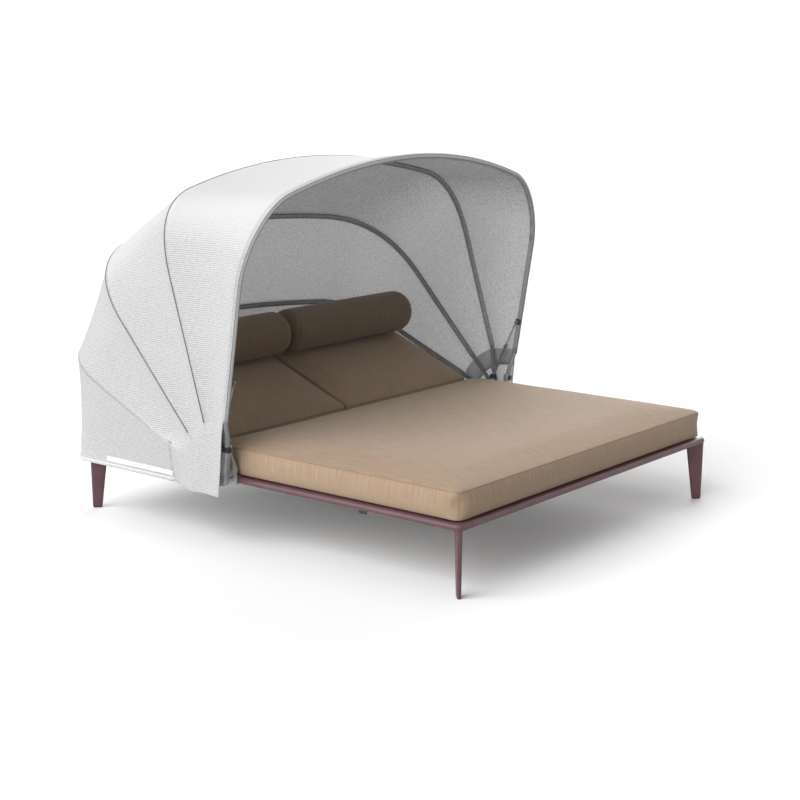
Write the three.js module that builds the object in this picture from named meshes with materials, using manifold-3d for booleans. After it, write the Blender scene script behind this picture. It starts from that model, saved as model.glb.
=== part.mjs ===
// Outdoor daybed with a folding hoop canopy, in millimetres, +Z up, foot end towards -Y.
import * as THREE from 'three';
import { mergeVertices } from 'three/addons/utils/BufferGeometryUtils.js';
import Module from 'manifold-3d';

const wasm = await Module();
wasm.setup();

// Clearances
const touchGap = 0.3; // between pieces that rest on each other
const runningGap = 0.4; // between a pin and its hole, on the radius
const overrun = 5; // how far a cutting body passes the face that it cuts

// Frame of rails
const frameWidth = 1896;
const frameLength = 2105;
const railTop = 293;
const railHeight = 28;
const railDepth = 60;
const railWall = 3;
const noseRadius = 13.5;
const ledgeWidth = 18;
const ledgeThickness = 6;
const ledgeDrop = 13; // from the rail's top to the ledge's top
const cornerRadius = 36;
const cornerReach = 86; // length of a corner casting along each rail

// Corner legs
const legTopWidth = 78;
const legTopThickness = 22;
const legFootWidth = 43;
const legFootThickness = 17;
const legLean = 4; // how far the foot's outer edge stands in from the top's
const legSetIn = 3; // from the corner's outermost point to the blade's outer edge
const legRounding = 6;
const legRoot = 12; // height of the blade's root inside the casting
const glideHeight = 4;
const glideInset = 2;

// Bearers and slats
const bearerWidth = 40;
const bearerHeight = 18;
const bearerWall = 2.5;
const bearerSetIn = 23; // from the frame's outer face to a cross bearer's end
const centreBearerWidth = 40;
const footBearerInset = 492.5; // from the frame's foot end to the bearer's middle
const slatThickness = 18;
const slatWidth = 60;
const slatGap = 42;
const deckRunner = 30;
const deckClearance = 2; // from the rails' inner faces to the slat deck
const deckEndGap = 40; // from the hinge axis to the seat deck's end

// Backrests
const hingeInset = 762.5; // from the frame's head end to the hinge axis
const hingeRodRadius = 5;
const hingeEyeRadius = 14;
const hingeEarRadius = 12;
const hingeEarWidth = 8;
const restRecline = 22; // degrees above flat
const topRecline = 38;
const backrestSplit = 8; // from the middle to each backrest frame
const backrestBarWidth = 30;
const backrestSlatThickness = 14;
const backrestSlatsAbove = 4; // above the slat that carries the prop
const backrestSlatsBelow = 3;

// Cushions
const mattressSetIn = 16; // from the frame's outer face
const mattressRearGap = 20; // from the hinge axis to the mattress
const mattressSide = 118.7;
const mattressCrown = 30;
const cushionRounding = 34;
const cushionDrawIn = 5; // how far the sides pull in between the seams and between the corners
const cushionSeamEase = 7; // rounding of the edges at the seams
const backCushionSide = 98;
const backCushionCrown = 20;
const backCushionLength = 740;
const backCushionSplit = 5;
const backCushionFootTop = 62; // from the hinge axis to the cushion's upper front edge
const backCushionFootBottom = 18;
const bolsterRadius = 106;
const bolsterOuterInset = 22; // from the frame's outer face
const bolsterInnerEnd = 12; // from the middle of the bed
const bolsterPlace = 568; // along the backrest
const bolsterEndRound = 88;
const bolsterRestShare = 0.925; // of the backrest cushion's crown, under the bolster

// Prop bails and their racks
const propPlaceShare = 0.4725; // of the backrest's length
const propFootMargin = 30; // from the foot rod to the head bearer when the backrest lies flat
const propDrop = 25; // from the backrest's middle plane to the bail's pivot
const propRodRadius = 5;
const propHalfWidth = 90;
const propRatio = 2.3; // bail turn for each turn of the backrest
const propFootHeight = 273;
const propBend = 16;
const propStub = 24;
const lugThickness = 6;
const lugRadius = 11;
const rackWidth = 20;
const rackSpine = 5; // under the deepest notch
const rackTabHeight = 5;
const rackTabLength = 35;
const rackPitch = 24;
const rackNotchDepth = 7;
const rackNotchShare = 0.35;
const rackTopLimit = 279;
const rackBearerInset = 472.5; // from the frame's head end to the bearer's middle
const headBearerInset = 122.5;

// Canopy hub on each side
const pivotInset = 922.5; // from the frame's head end to the axle
const pivotHeight = 279;
const axleRadius = 6;
const axleShoulderRadius = 12;
const eyeRadius = 13;
const eyeGap = 0.5;
const hoopBarThickness = 8;
const hoopBarWidth = 20;
const hubPlateThickness = 8;
const hubPlateWidth = 60;
const hubPlateDrop = 17; // below the axle
const hubPlateLap = 31; // below the rail's top
const hubPlateRise = 51; // above the axle
const hubFootReach = 43; // from the frame's outer face inwards
const hubFootThickness = 4;
const hubFootWidth = 56;
const guideArmSetBack = 12; // from the axle towards the foot end
const guideArmWidth = 22;
const guideArmRise = 68; // from the plate's top to the arm's upright stretch
const guideArmUpright = 42;
const guideArmThickness = 8;
const bracketScrewRadius = 5;
const bracketScrewHead = 3;
const bracketScrewInset = 9; // from the plate to the screw's middle
const capRadius = 14;
const capThickness = 6;

// Hoops, from the front one to the rear one; foot and shoulder stand off from the frame's outer face
const tubeRadius = 11;
const hoopStandOff = 33; // from the frame's outer face to the first bar on the axle
const knuckleThickness = 23;
const knuckleWidth = 31;
const knuckleLength = 150;
const barBend = 190; // radius at which a hoop's end bar leaves its place on the axle
const tubeStart = 300; // radius at which a hoop's round tube starts
const barRoot = 20; // length of the bar inside the tube
const hoopSizes = {
  front: {
    lean: -9.3, foot: 79, shoulder: 81, leg: 825, corner: 236,
    top: 1314, crown: 122, low: 0.43, high: 0.54,
  },
  second: {
    lean: 16.84, foot: 70, shoulder: 70, leg: 874, corner: 221,
    top: 1320, crown: 99, low: 0.62, high: 0.65,
  },
  third: {
    lean: 42.3, foot: 68, shoulder: 66, leg: 838, corner: 421,
    top: 1296, crown: 38, low: 0.69, high: 0.53,
  },
  rear: {
    lean: 66, foot: 78, shoulder: 68, leg: 793, corner: 262,
    top: 1200, crown: 73, low: 0.6, high: 0.6,
  },
};

// Spans between the points along a hoop's leg, its corner and half of its crown
const legSteps = 2;
const cornerSteps = 6;
const crownSteps = 4;

// Canopy fabric
const fabricThickness = 2;
const fabricClearance = 1.3; // from a hoop's tube to the fabric over it
const fabricSag = 24;
const crownSag = 20; // further sag of the front panel at its crown
const crownSagFrom = 600; // radius at which the further sag starts
const crownSagTo = 1250;
const fabricStart = 200; // radius at which the panels start
const hemHeight = 239;
const hemSideStandOff = 62; // from the frame's outer face
const hemRearStandOff = 13.5;
const hemCorner = 75;
const skirtStart = 300;
const skirtSagShare = 0.026;
const flapBottom = 225;
const flapFront = 13; // lower front corner, from the axle towards the foot end
const flapRear = 238; // rear edge, from the axle towards the head end
const flapLevel = 154; // end of the level part of the bottom edge, likewise
const flapRise = 12; // how far the bottom edge climbs from there to the rear edge
const flapBow = 9; // how far the front edge leans forward at half its height

// Telescopic stays between the second hoop and the front hoop
const stayLowRadius = 152; // pivot on the second hoop
const stayHighRadius = 434; // pivot on the front hoop
const stayLowGap = 13; // from the second hoop's bar to the stay's middle
const stayHighGap = 29.4; // from the front hoop's tube axis to the stay's middle
const stayTubeRadius = 6.5;
const stayRodRadius = 4.5;
const stayTubeLength = 168;
const stayTubeStart = 14;
const stayBoreStart = 40;
const stayRodStart = 70;
const stayCollarRadius = 8.5;
const stayCollarLength = 22;
const stayTabThickness = 4;
const stayTabRadius = 9;
const stayRodTabRadius = 8;
const stayHoleRadius = 2;
const stayHolePitch = 20;
const stayHoles = 4;
const stayEndMargin = 30; // from the upper pivot to the first hole
const clampRadius = 13;
const clampPinRadius = 4;
const clampSlot = 5;
const clampHeight = 28;
const clampWall = 2;
const clampBossRadius = 8;
const buttonRadius = 3;
const buttonCapRadius = 4.6;
const buttonCapHeight = 4;
const buttonStand = 2.2; // from the collar to the cap
const buttonTravel = 1.2;
const buttonSetBack = 11; // from the tube's mouth to the button

// Derived sizes
const halfWidth = frameWidth / 2;
const halfLength = frameLength / 2;
const hingePlace = halfLength - hingeInset;
const pivotPlace = halfLength - pivotInset;
const footBearerPlace = footBearerInset - halfLength;
const rackBearerPlace = halfLength - rackBearerInset;
const headBearerPlace = halfLength - headBearerInset;
const backrestLength = hingeInset - railDepth - 2 * deckClearance;
const propPlace = propPlaceShare * backrestLength;
const propLength = headBearerPlace - bearerWidth / 2 - propFootMargin - hingePlace - propPlace;
const bolsterLength = halfWidth - bolsterOuterInset - bolsterInnerEnd;
const hemHalfWidth = halfWidth + hemSideStandOff;
const hemRear = halfLength + hemRearStandOff;
const railBottom = railTop - railHeight;
const railInner = halfWidth - railDepth;
const ledgeTop = railTop - ledgeDrop;
const bearerTop = railBottom - touchGap;
const slatTop = ledgeTop + touchGap + slatThickness;
const hingeHeight = slatTop - slatThickness / 2;
const plateInner = halfWidth + touchGap;
const plateOuter = plateInner + hubPlateThickness;
const hubPlateTop = pivotHeight + hubPlateRise;
const hubPlateBottom = Math.min(pivotHeight - hubPlateDrop, railTop - hubPlateLap);
const backrestOuter = railInner - ledgeWidth - deckClearance;
const backrestMiddle = (backrestSplit + backrestOuter) / 2;
const hoopNames = ['front', 'second', 'third', 'rear'];
const hoops = {};
for (const name of hoopNames) {
  const sizes = hoopSizes[name];
  hoops[name] = { ...sizes, foot: halfWidth + sizes.foot, shoulder: halfWidth + sizes.shoulder };
}
const hoopStacks = { second: halfWidth + hoopStandOff };
hoopStacks.front = hoopStacks.second + hoopBarThickness + eyeGap;
hoopStacks.third = hoopStacks.front + knuckleThickness + eyeGap;
hoopStacks.rear = hoopStacks.third + hoopBarThickness + eyeGap;
const panelReach = tubeRadius + fabricClearance;
const sides = { left: -1, right: 1 };
const flatTurn = Math.PI / 2;
const uprightLean = 90;

// Materials
const colours = {
  frame: 0x6b4a4f,
  fabric: 0xdcdcda,
  cushion: 0xa08a74,
  inner: 0x9a9a98,
  tube: 0xb4b6b8,
  dark: 0x4a4d52,
  clamp: 0x28324a,
  plastic: 0x2a2a2c,
};
function finish(color, roughness, metalness) {
  return new THREE.MeshStandardMaterial({ color, roughness, metalness });
}

const powderCoat = finish(colours.frame, 0.55, 0.1);
const shadeFabric = finish(colours.fabric, 0.9, 0);
const cushionFabric = finish(colours.cushion, 0.95, 0);
const plainAluminium = finish(colours.inner, 0.45, 0.8);
const tubeAluminium = finish(colours.tube, 0.35, 0.9);
const greyTube = finish(colours.dark, 0.5, 0.4);
const clampPlastic = finish(colours.clamp, 0.5, 0);
const footPlastic = finish(colours.plastic, 0.7, 0);

// Geometry helpers
function closedBody(positions, triangles) {
  const geometry = new THREE.BufferGeometry();
  geometry.setAttribute('position', new THREE.Float32BufferAttribute(positions.flat(), 3));
  geometry.setIndex(triangles.flat());
  return geometry;
}

function toSolid(source) {
  const geometry = source.clone();
  geometry.deleteAttribute('normal');
  geometry.deleteAttribute('uv');
  const merged = mergeVertices(geometry, 1e-4);
  const vertProperties = new Float32Array(merged.attributes.position.array);
  const triVerts = new Uint32Array(merged.index.array);
  return new wasm.Manifold(new wasm.Mesh({ numProp: 3, vertProperties, triVerts }));
}

function toGeometry(solid) {
  const mesh = solid.getMesh();
  const geometry = new THREE.BufferGeometry();
  const positions = [];
  for (let i = 0; i < mesh.vertProperties.length; i += mesh.numProp) {
    positions.push(...mesh.vertProperties.slice(i, i + 3));
  }
  geometry.setAttribute('position', new THREE.Float32BufferAttribute(positions, 3));
  geometry.setIndex(Array.from(mesh.triVerts));
  return geometry;
}

function join(...geometries) {
  return toGeometry(geometries.map(toSolid).reduce((whole, piece) => whole.add(piece)));
}

function cut(body, ...tools) {
  return toGeometry(tools.map(toSolid).reduce((whole, tool) => whole.subtract(tool), toSolid(body)));
}

function keepInside(body, limit) {
  return toGeometry(toSolid(body).intersect(toSolid(limit)));
}

// A box between two corners.
function boxBetween(low, high) {
  const size = high.map((value, i) => value - low[i]);
  const geometry = new THREE.BoxGeometry(...size);
  geometry.translate(...high.map((value, i) => (value + low[i]) / 2));
  return geometry;
}

// A cylinder along X between two places.
function cylinderX(radius, from, to, y, z, facets = 16) {
  const geometry = new THREE.CylinderGeometry(radius, radius, Math.abs(to - from), facets);
  geometry.rotateZ(flatTurn);
  geometry.translate((from + to) / 2, y, z);
  return geometry;
}

// Rings of equally many points, joined in order and closed at both ends.
function loft(rings) {
  const count = rings[0].length;
  const positions = rings.flat();
  const triangles = [];
  for (let r = 0; r < rings.length - 1; r += 1) {
    for (let i = 0; i < count; i += 1) {
      const a = r * count + i;
      const b = r * count + ((i + 1) % count);
      triangles.push([a, b, b + count], [a, b + count, a + count]);
    }
  }
  const middle = (ring) => [0, 1, 2].map((axis) => ring.reduce((sum, point) => sum + point[axis], 0) / count);
  const first = positions.push(middle(rings[0])) - 1;
  const last = positions.push(middle(rings[rings.length - 1])) - 1;
  const lastRing = (rings.length - 1) * count;
  for (let i = 0; i < count; i += 1) {
    const next = (i + 1) % count;
    triangles.push([first, next, i], [last, lastRing + i, lastRing + next]);
  }
  return closedBody(positions, triangles);
}

// A round tube along points [x, z] of the plane Y = 0.
function planarTube(path, radius, facets = 8) {
  const rings = path.map(([x, z], i) => {
    const before = path[Math.max(i - 1, 0)];
    const after = path[Math.min(i + 1, path.length - 1)];
    const along = new THREE.Vector2(after[0] - before[0], after[1] - before[1]).normalize();
    const ring = [];
    for (let k = 0; k < facets; k += 1) {
      const turn = (2 * Math.PI * k) / facets;
      const out = radius * Math.cos(turn);
      ring.push([x + along.y * out, radius * Math.sin(turn), z - along.x * out]);
    }
    return ring;
  });
  return loft(rings);
}

// Two equal grids of points, the outer and the inner face of a sheet, closed at its edges.
function sheetBody(outer, inner) {
  const rows = outer.length;
  const columns = outer[0].length;
  const positions = [...outer.flat(), ...inner.flat()];
  const half = rows * columns;
  const at = (r, c) => r * columns + c;
  const triangles = [];
  const quad = (a, b, c, d) => triangles.push([a, c, b], [a, d, c]);
  for (let r = 0; r < rows - 1; r += 1) {
    for (let c = 0; c < columns - 1; c += 1) {
      quad(at(r, c), at(r, c + 1), at(r + 1, c + 1), at(r + 1, c));
      quad(half + at(r, c), half + at(r + 1, c), half + at(r + 1, c + 1), half + at(r, c + 1));
    }
  }
  for (let r = 0; r < rows - 1; r += 1) {
    quad(at(r, 0), at(r + 1, 0), half + at(r + 1, 0), half + at(r, 0));
    const end = columns - 1;
    quad(at(r + 1, end), at(r, end), half + at(r, end), half + at(r + 1, end));
  }
  for (let c = 0; c < columns - 1; c += 1) {
    quad(at(0, c + 1), at(0, c), half + at(0, c), half + at(0, c + 1));
    const end = rows - 1;
    quad(at(end, c), at(end, c + 1), half + at(end, c + 1), half + at(end, c));
  }
  return closedBody(positions, triangles);
}

// A shape drawn as (along, up), extruded along X and laid with its first axis on Y.
function extrudeX(shape, from, to, curveSegments = 4) {
  const geometry = new THREE.ExtrudeGeometry(shape, { depth: to - from, bevelEnabled: false, curveSegments });
  const turn = new THREE.Matrix4().makeBasis(
    new THREE.Vector3(0, 1, 0),
    new THREE.Vector3(0, 0, 1),
    new THREE.Vector3(1, 0, 0),
  );
  geometry.applyMatrix4(turn);
  geometry.translate(from, 0, 0);
  return geometry;
}

function outline(points) {
  return new THREE.Shape(points.map(([u, v]) => new THREE.Vector2(u, v)));
}

const daybed = new THREE.Group();

function addPiece(name, geometry, material, parent = daybed) {
  const mesh = new THREE.Mesh(geometry, material);
  mesh.name = name;
  parent.add(mesh);
  return mesh;
}

// A group that turns about an axis along X at (place, height); degrees lean back towards +Y.
function leaningGroup(place, height, lean) {
  const group = new THREE.Group();
  group.position.set(0, place, height);
  group.rotation.x = -THREE.MathUtils.degToRad(lean);
  daybed.add(group);
  return group;
}

// Rails: hollow extrusions with a half-round outer edge and an inner ledge for the slats.
function railSection() {
  const flat = railDepth - noseRadius;
  const ledge = railHeight - ledgeDrop;
  const section = new THREE.Shape();
  section.moveTo(0, 0);
  section.lineTo(flat, 0);
  section.absarc(flat, noseRadius, noseRadius, -flatTurn, 0, false);
  section.absarc(flat, railHeight - noseRadius, noseRadius, 0, flatTurn, false);
  section.lineTo(0, railHeight);
  section.lineTo(0, ledge);
  section.lineTo(-ledgeWidth, ledge);
  section.lineTo(-ledgeWidth, ledge - ledgeThickness);
  section.lineTo(0, ledge - ledgeThickness);
  section.closePath();
  const hollow = [
    [railWall, railWall],
    [flat, railWall],
    [flat, railHeight - railWall],
    [railWall, railHeight - railWall],
  ];
  section.holes.push(outline(hollow));
  return section;
}

function rail(length) {
  const settings = { depth: length, bevelEnabled: false, curveSegments: 2 };
  const geometry = new THREE.ExtrudeGeometry(railSection(), settings);
  geometry.translate(0, 0, -length / 2);
  geometry.rotateX(flatTurn);
  return geometry;
}

function addRails() {
  const sideLength = frameLength - 2 * (cornerReach + touchGap);
  const endLength = frameWidth - 2 * (cornerReach + touchGap);
  const places = {
    side_rail_right: [sideLength, railInner, 0, 0],
    side_rail_left: [sideLength, -railInner, 0, Math.PI],
    head_rail: [endLength, 0, halfLength - railDepth, flatTurn],
    foot_rail: [endLength, 0, railDepth - halfLength, -flatTurn],
  };
  for (const [name, [length, x, y, turn]] of Object.entries(places)) {
    const mesh = addPiece(name, rail(length), powderCoat);
    mesh.position.set(x, y, railBottom);
    mesh.rotation.z = turn;
  }
}

// Corner castings: the rails' outer edge carried round the corner, with a tapered blade leg on the diagonal.
function bladeRing(width, thickness, outer, height) {
  const ring = [];
  const cornerPoints = 3;
  for (let c = 0; c < 4; c += 1) {
    const alongSign = c === 0 || c === 3 ? 1 : -1;
    const acrossSign = c < 2 ? 1 : -1;
    for (let k = 0; k < cornerPoints; k += 1) {
      const turn = (c + k / (cornerPoints - 1)) * flatTurn;
      const along = outer - width / 2 + alongSign * (width / 2 - legRounding) + legRounding * Math.cos(turn);
      const across = acrossSign * (thickness / 2 - legRounding) + legRounding * Math.sin(turn);
      ring.push([(along - across) * Math.SQRT1_2, (along + across) * Math.SQRT1_2, height]);
    }
  }
  return ring;
}

function cornerLeg() {
  const centre = cornerReach - cornerRadius;
  const inset = cornerRadius - noseRadius;
  const plan = new THREE.Shape();
  const tail = -noseRadius - overrun;
  plan.moveTo(tail, tail);
  plan.lineTo(centre + inset, tail);
  plan.lineTo(centre + inset, centre);
  plan.absarc(centre, centre, inset, 0, flatTurn, false);
  plan.lineTo(tail, centre + inset);
  plan.closePath();
  const casting = new THREE.ExtrudeGeometry(plan, {
    depth: railHeight - 2 * noseRadius,
    bevelEnabled: true,
    bevelThickness: noseRadius,
    bevelSize: noseRadius,
    bevelSegments: 4,
    curveSegments: 4,
  });
  casting.translate(0, 0, railBottom + noseRadius);
  const far = cornerReach + overrun;
  const limit = boxBetween([0, 0, railBottom - overrun], [far, far, railTop + overrun]);
  const outer = centre * Math.SQRT2 + cornerRadius - legSetIn;
  const footHeight = glideHeight + touchGap;
  const rootHeight = railBottom + legRoot;
  const spread = (legTopWidth - legFootWidth) / (railBottom - footHeight);
  const rootWidth = legTopWidth + spread * legRoot;
  const blade = loft([
    bladeRing(legFootWidth, legFootThickness, outer - legLean, footHeight),
    bladeRing(rootWidth, legTopThickness, outer, rootHeight),
  ]);
  const open = cornerReach - railDepth;
  const deckCorner = boxBetween([-overrun, -overrun, railBottom - overrun], [open, open, railTop + overrun]);
  return join(cut(keepInside(casting, limit), deckCorner), blade);
}

function glide() {
  const centre = cornerReach - cornerRadius;
  const outer = centre * Math.SQRT2 + cornerRadius - legSetIn - legLean - glideInset;
  const width = legFootWidth - 2 * glideInset;
  const thickness = legFootThickness - 2 * glideInset;
  return loft([bladeRing(width, thickness, outer, 0), bladeRing(width, thickness, outer, glideHeight)]);
}

function addCornerLegs() {
  const legShape = cornerLeg();
  const glideShape = glide();
  const ends = { foot: -1, head: 1 };
  for (const [end, ySign] of Object.entries(ends)) {
    for (const [side, xSign] of Object.entries(sides)) {
      const corner = new THREE.Group();
      corner.position.set(xSign * (halfWidth - cornerReach), ySign * (halfLength - cornerReach), 0);
      corner.scale.set(xSign, ySign, 1);
      daybed.add(corner);
      addPiece(`corner_leg_${end}_${side}`, legShape, powderCoat, corner);
      addPiece(`glide_${end}_${side}`, glideShape, footPlastic, corner);
    }
  }
}

// Bearers: box tubes under the rails, and one flat bearer down the middle on top of them.
function boxTubeX(halfSpan, place, width, low, high) {
  const tube = boxBetween([-halfSpan, place - width / 2, low], [halfSpan, place + width / 2, high]);
  const bore = boxBetween(
    [-halfSpan - overrun, place - width / 2 + bearerWall, low + bearerWall],
    [halfSpan + overrun, place + width / 2 - bearerWall, high - bearerWall],
  );
  return cut(tube, bore);
}

function hingeEars(bearer) {
  const barEnd = backrestSplit + 2 * touchGap + backrestBarWidth;
  const ears = [];
  const outerEar = backrestOuter - 3 * touchGap - backrestBarWidth - hingeEarWidth;
  for (const inner of [barEnd + touchGap, outerEar]) {
    for (const sign of Object.values(sides)) {
      const low = Math.min(sign * inner, sign * (inner + hingeEarWidth));
      const high = low + hingeEarWidth;
      const post = boxBetween(
        [low, hingePlace - hingeEarRadius, bearerTop - bearerWall],
        [high, hingePlace + hingeEarRadius, hingeHeight],
      );
      ears.push(join(post, cylinderX(hingeEarRadius, low, high, hingePlace, hingeHeight)));
    }
  }
  const rodHole = cylinderX(
    hingeRodRadius + runningGap,
    -backrestOuter,
    backrestOuter,
    hingePlace,
    hingeHeight,
  );
  return cut(join(bearer, ...ears), rodHole);
}

function addBearers() {
  const halfSpan = halfWidth - bearerSetIn;
  const low = bearerTop - bearerHeight;
  const across = (place) => boxTubeX(halfSpan, place, bearerWidth, low, bearerTop);
  addPiece('foot_cross_bearer', across(footBearerPlace), plainAluminium);
  addPiece('hinge_cross_bearer', hingeEars(across(hingePlace)), plainAluminium);
  addPiece('rack_cross_bearer', across(rackBearerPlace), plainAluminium);
  addPiece('head_cross_bearer', across(headBearerPlace), plainAluminium);
  const footFace = railDepth + touchGap - halfLength;
  const spineEnd = hingePlace - hingeEyeRadius - deckClearance;
  const half = centreBearerWidth / 2;
  const base = bearerTop + touchGap;
  const body = boxBetween([-half, footFace + ledgeWidth, base], [half, spineEnd, ledgeTop]);
  const tongueTop = ledgeTop - ledgeThickness - touchGap;
  const tongue = boxBetween([-half, footFace, base], [half, footFace + 2 * ledgeWidth, tongueTop]);
  addPiece('centre_bearer', join(body, tongue), plainAluminium);
}

// Seat deck: slats joined by three runners, resting on the ledges and the centre bearer.
function slatDeck(left, right, front, rear, low, high) {
  const count = Math.floor((rear - front - slatWidth) / (slatWidth + slatGap));
  const step = (rear - front - slatWidth) / count;
  const middle = (left + right) / 2;
  const bays = [
    [left + deckRunner, middle - deckRunner / 2],
    [middle + deckRunner / 2, right - deckRunner],
  ];
  const openings = [];
  for (let i = 0; i < count; i += 1) {
    const start = front + slatWidth + i * step;
    const end = start + step - slatWidth;
    for (const [from, to] of bays) {
      openings.push(boxBetween([from, start, low - overrun], [to, end, high + overrun]));
    }
  }
  return cut(boxBetween([left, front, low], [right, rear, high]), ...openings);
}

function addSeatDeck() {
  const reach = railInner - deckClearance;
  const front = railDepth + deckClearance - halfLength;
  const rear = hingePlace - deckEndGap;
  const low = ledgeTop + touchGap;
  addPiece('seat_slat_deck', slatDeck(-reach, reach, front, rear, low, slatTop), plainAluminium);
}

// Cushions: rings of a rounded rectangle whose sides pull in, closed by a crown.
function cushionRing(box, rounding, drawIn, height) {
  const ring = [];
  const arcSteps = 3;
  const sideSteps = 4;
  const halfX = (box.right - box.left) / 2;
  const halfY = (box.rear - box.front) / 2;
  const midX = (box.right + box.left) / 2;
  const midY = (box.rear + box.front) / 2;
  const corner = Math.min(rounding, halfX, halfY);
  const starts = [[1, 1], [-1, 1], [-1, -1], [1, -1]];
  const raw = [];
  const onCorner = ([sx, sy], turn) => [
    sx * (halfX - corner) + corner * Math.cos(turn),
    sy * (halfY - corner) + corner * Math.sin(turn),
  ];
  starts.forEach((start, c) => {
    for (let k = 0; k <= arcSteps; k += 1) {
      raw.push(onCorner(start, (c + k / arcSteps) * flatTurn));
    }
    const from = raw[raw.length - 1];
    const to = onCorner(starts[(c + 1) % 4], (c + 1) * flatTurn);
    for (let k = 1; k < sideSteps; k += 1) {
      const share = k / sideSteps;
      raw.push([from[0] + (to[0] - from[0]) * share, from[1] + (to[1] - from[1]) * share]);
    }
  });
  for (const [x, y] of raw) {
    const shareX = x / halfX;
    const shareY = y / halfY;
    const pulledX = x - Math.sign(x) * drawIn * Math.max(1 - shareY * shareY, 0) * Math.abs(shareX) ** 4;
    const pulledY = y - Math.sign(y) * drawIn * Math.max(1 - shareX * shareX, 0) * Math.abs(shareY) ** 4;
    ring.push([midX + pulledX, midY + pulledY, height]);
  }
  return ring;
}

function shrink(box, by) {
  return { left: box.left + by, right: box.right - by, front: box.front + by, rear: box.rear - by };
}

// Each level is a share of the side's height and how far the side stands in there, in draw-ins.
const sideLevelShares = [[0.05, 0.25], [0.3, 0.95], [0.5, 1.2], [0.72, 0.95], [0.95, 0.25]];
const crownShares = [[0.03, 0.2], [0.12, 0.46], [0.28, 0.74], [0.5, 0.92], [0.75, 1]];

function crownedCushion(box, low, side, crown, frontBottom = 0) {
  const slant = (height) => (1 - (height - low) / side) * frontBottom;
  const level = (inset, height, drawIn) => {
    const shape = shrink(box, inset);
    shape.front -= slant(height);
    return cushionRing(shape, cushionRounding, drawIn, height);
  };
  const rings = [level(cushionSeamEase, low, cushionDrawIn)];
  for (const [heightShare, depthShare] of sideLevelShares) {
    rings.push(level(depthShare * cushionDrawIn, low + heightShare * side, cushionDrawIn));
  }
  rings.push(level(0, low + side, cushionDrawIn));
  const reach = Math.min(box.right - box.left, box.rear - box.front) / 2;
  for (const [inShare, riseShare] of crownShares) {
    rings.push(cushionRing(shrink(box, inShare * reach), cushionRounding, 0, low + side + riseShare * crown));
  }
  return loft(rings);
}

function addMattress() {
  const box = {
    left: mattressSetIn - halfWidth,
    right: halfWidth - mattressSetIn,
    front: mattressSetIn - halfLength,
    rear: hingePlace - mattressRearGap,
  };
  const mattress = crownedCushion(box, slatTop + touchGap, mattressSide, mattressCrown);
  addPiece('seat_mattress', mattress, cushionFabric);
}

// Backrests: a ladder frame on a hinge rod, with its cushion and bolster, in a group that reclines.
function backrestBar(from, to) {
  const half = slatThickness / 2;
  const meet = Math.asin(half / hingeEyeRadius);
  const profile = new THREE.Shape();
  profile.moveTo(backrestLength, -half);
  profile.lineTo(backrestLength, half);
  profile.absarc(0, 0, hingeEyeRadius, meet, 2 * Math.PI - meet, false);
  profile.closePath();
  const bar = extrudeX(profile, from, to, 6);
  return cut(bar, cylinderX(hingeRodRadius + runningGap, from - overrun, to + overrun, 0, 0));
}

function backrestFrame(xSign) {
  const inner = backrestSplit + touchGap;
  const outer = backrestOuter - touchGap;
  const span = (from, to) => [Math.min(xSign * from, xSign * to), Math.max(xSign * from, xSign * to)];
  const bars = [
    backrestBar(...span(inner, inner + backrestBarWidth)),
    backrestBar(...span(outer - backrestBarWidth, outer)),
  ];
  const [left, right] = span(inner + backrestBarWidth / 2, outer - backrestBarWidth / 2);
  const half = backrestSlatThickness / 2;
  const step = (backrestLength - slatWidth / 2 - propPlace) / backrestSlatsAbove;
  const slats = [];
  for (let i = -backrestSlatsBelow; i <= backrestSlatsAbove; i += 1) {
    const start = propPlace + i * step - slatWidth / 2;
    slats.push(boxBetween([left, start, -half], [right, start + slatWidth, half]));
  }
  const lugs = [];
  for (const sign of Object.values(sides)) {
    const middle = xSign * backrestMiddle + sign * (propHalfWidth + propStub / 2 + touchGap);
    const low = middle - lugThickness / 2;
    const high = middle + lugThickness / 2;
    const post = boxBetween([low, propPlace - lugRadius, -propDrop], [high, propPlace + lugRadius, 0]);
    const lug = join(post, cylinderX(lugRadius, low, high, propPlace, -propDrop));
    const holeRadius = propRodRadius + runningGap;
    lugs.push(cut(lug, cylinderX(holeRadius, low - overrun, high + overrun, propPlace, -propDrop)));
  }
  return join(...bars, ...slats, ...lugs);
}

function bolster() {
  const facets = 16;
  const endSteps = 5;
  const rings = [];
  const ring = (x, radius) => {
    const points = [];
    for (let k = 0; k < facets; k += 1) {
      const turn = (2 * Math.PI * k) / facets;
      points.push([x, radius * Math.cos(turn), radius * Math.sin(turn)]);
    }
    return points;
  };
  const capRadiusShare = 0.24;
  for (let i = 0; i <= endSteps; i += 1) {
    const share = capRadiusShare + ((1 - capRadiusShare) * i) / endSteps;
    const turn = Math.asin(share);
    rings.push(ring(bolsterEndRound * (1 - Math.cos(turn)), bolsterRadius * share));
  }
  const mirrored = rings.map((points) => points.map(([x, y, z]) => [bolsterLength - x, y, z])).reverse();
  return loft([...rings, ...mirrored]);
}

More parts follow.
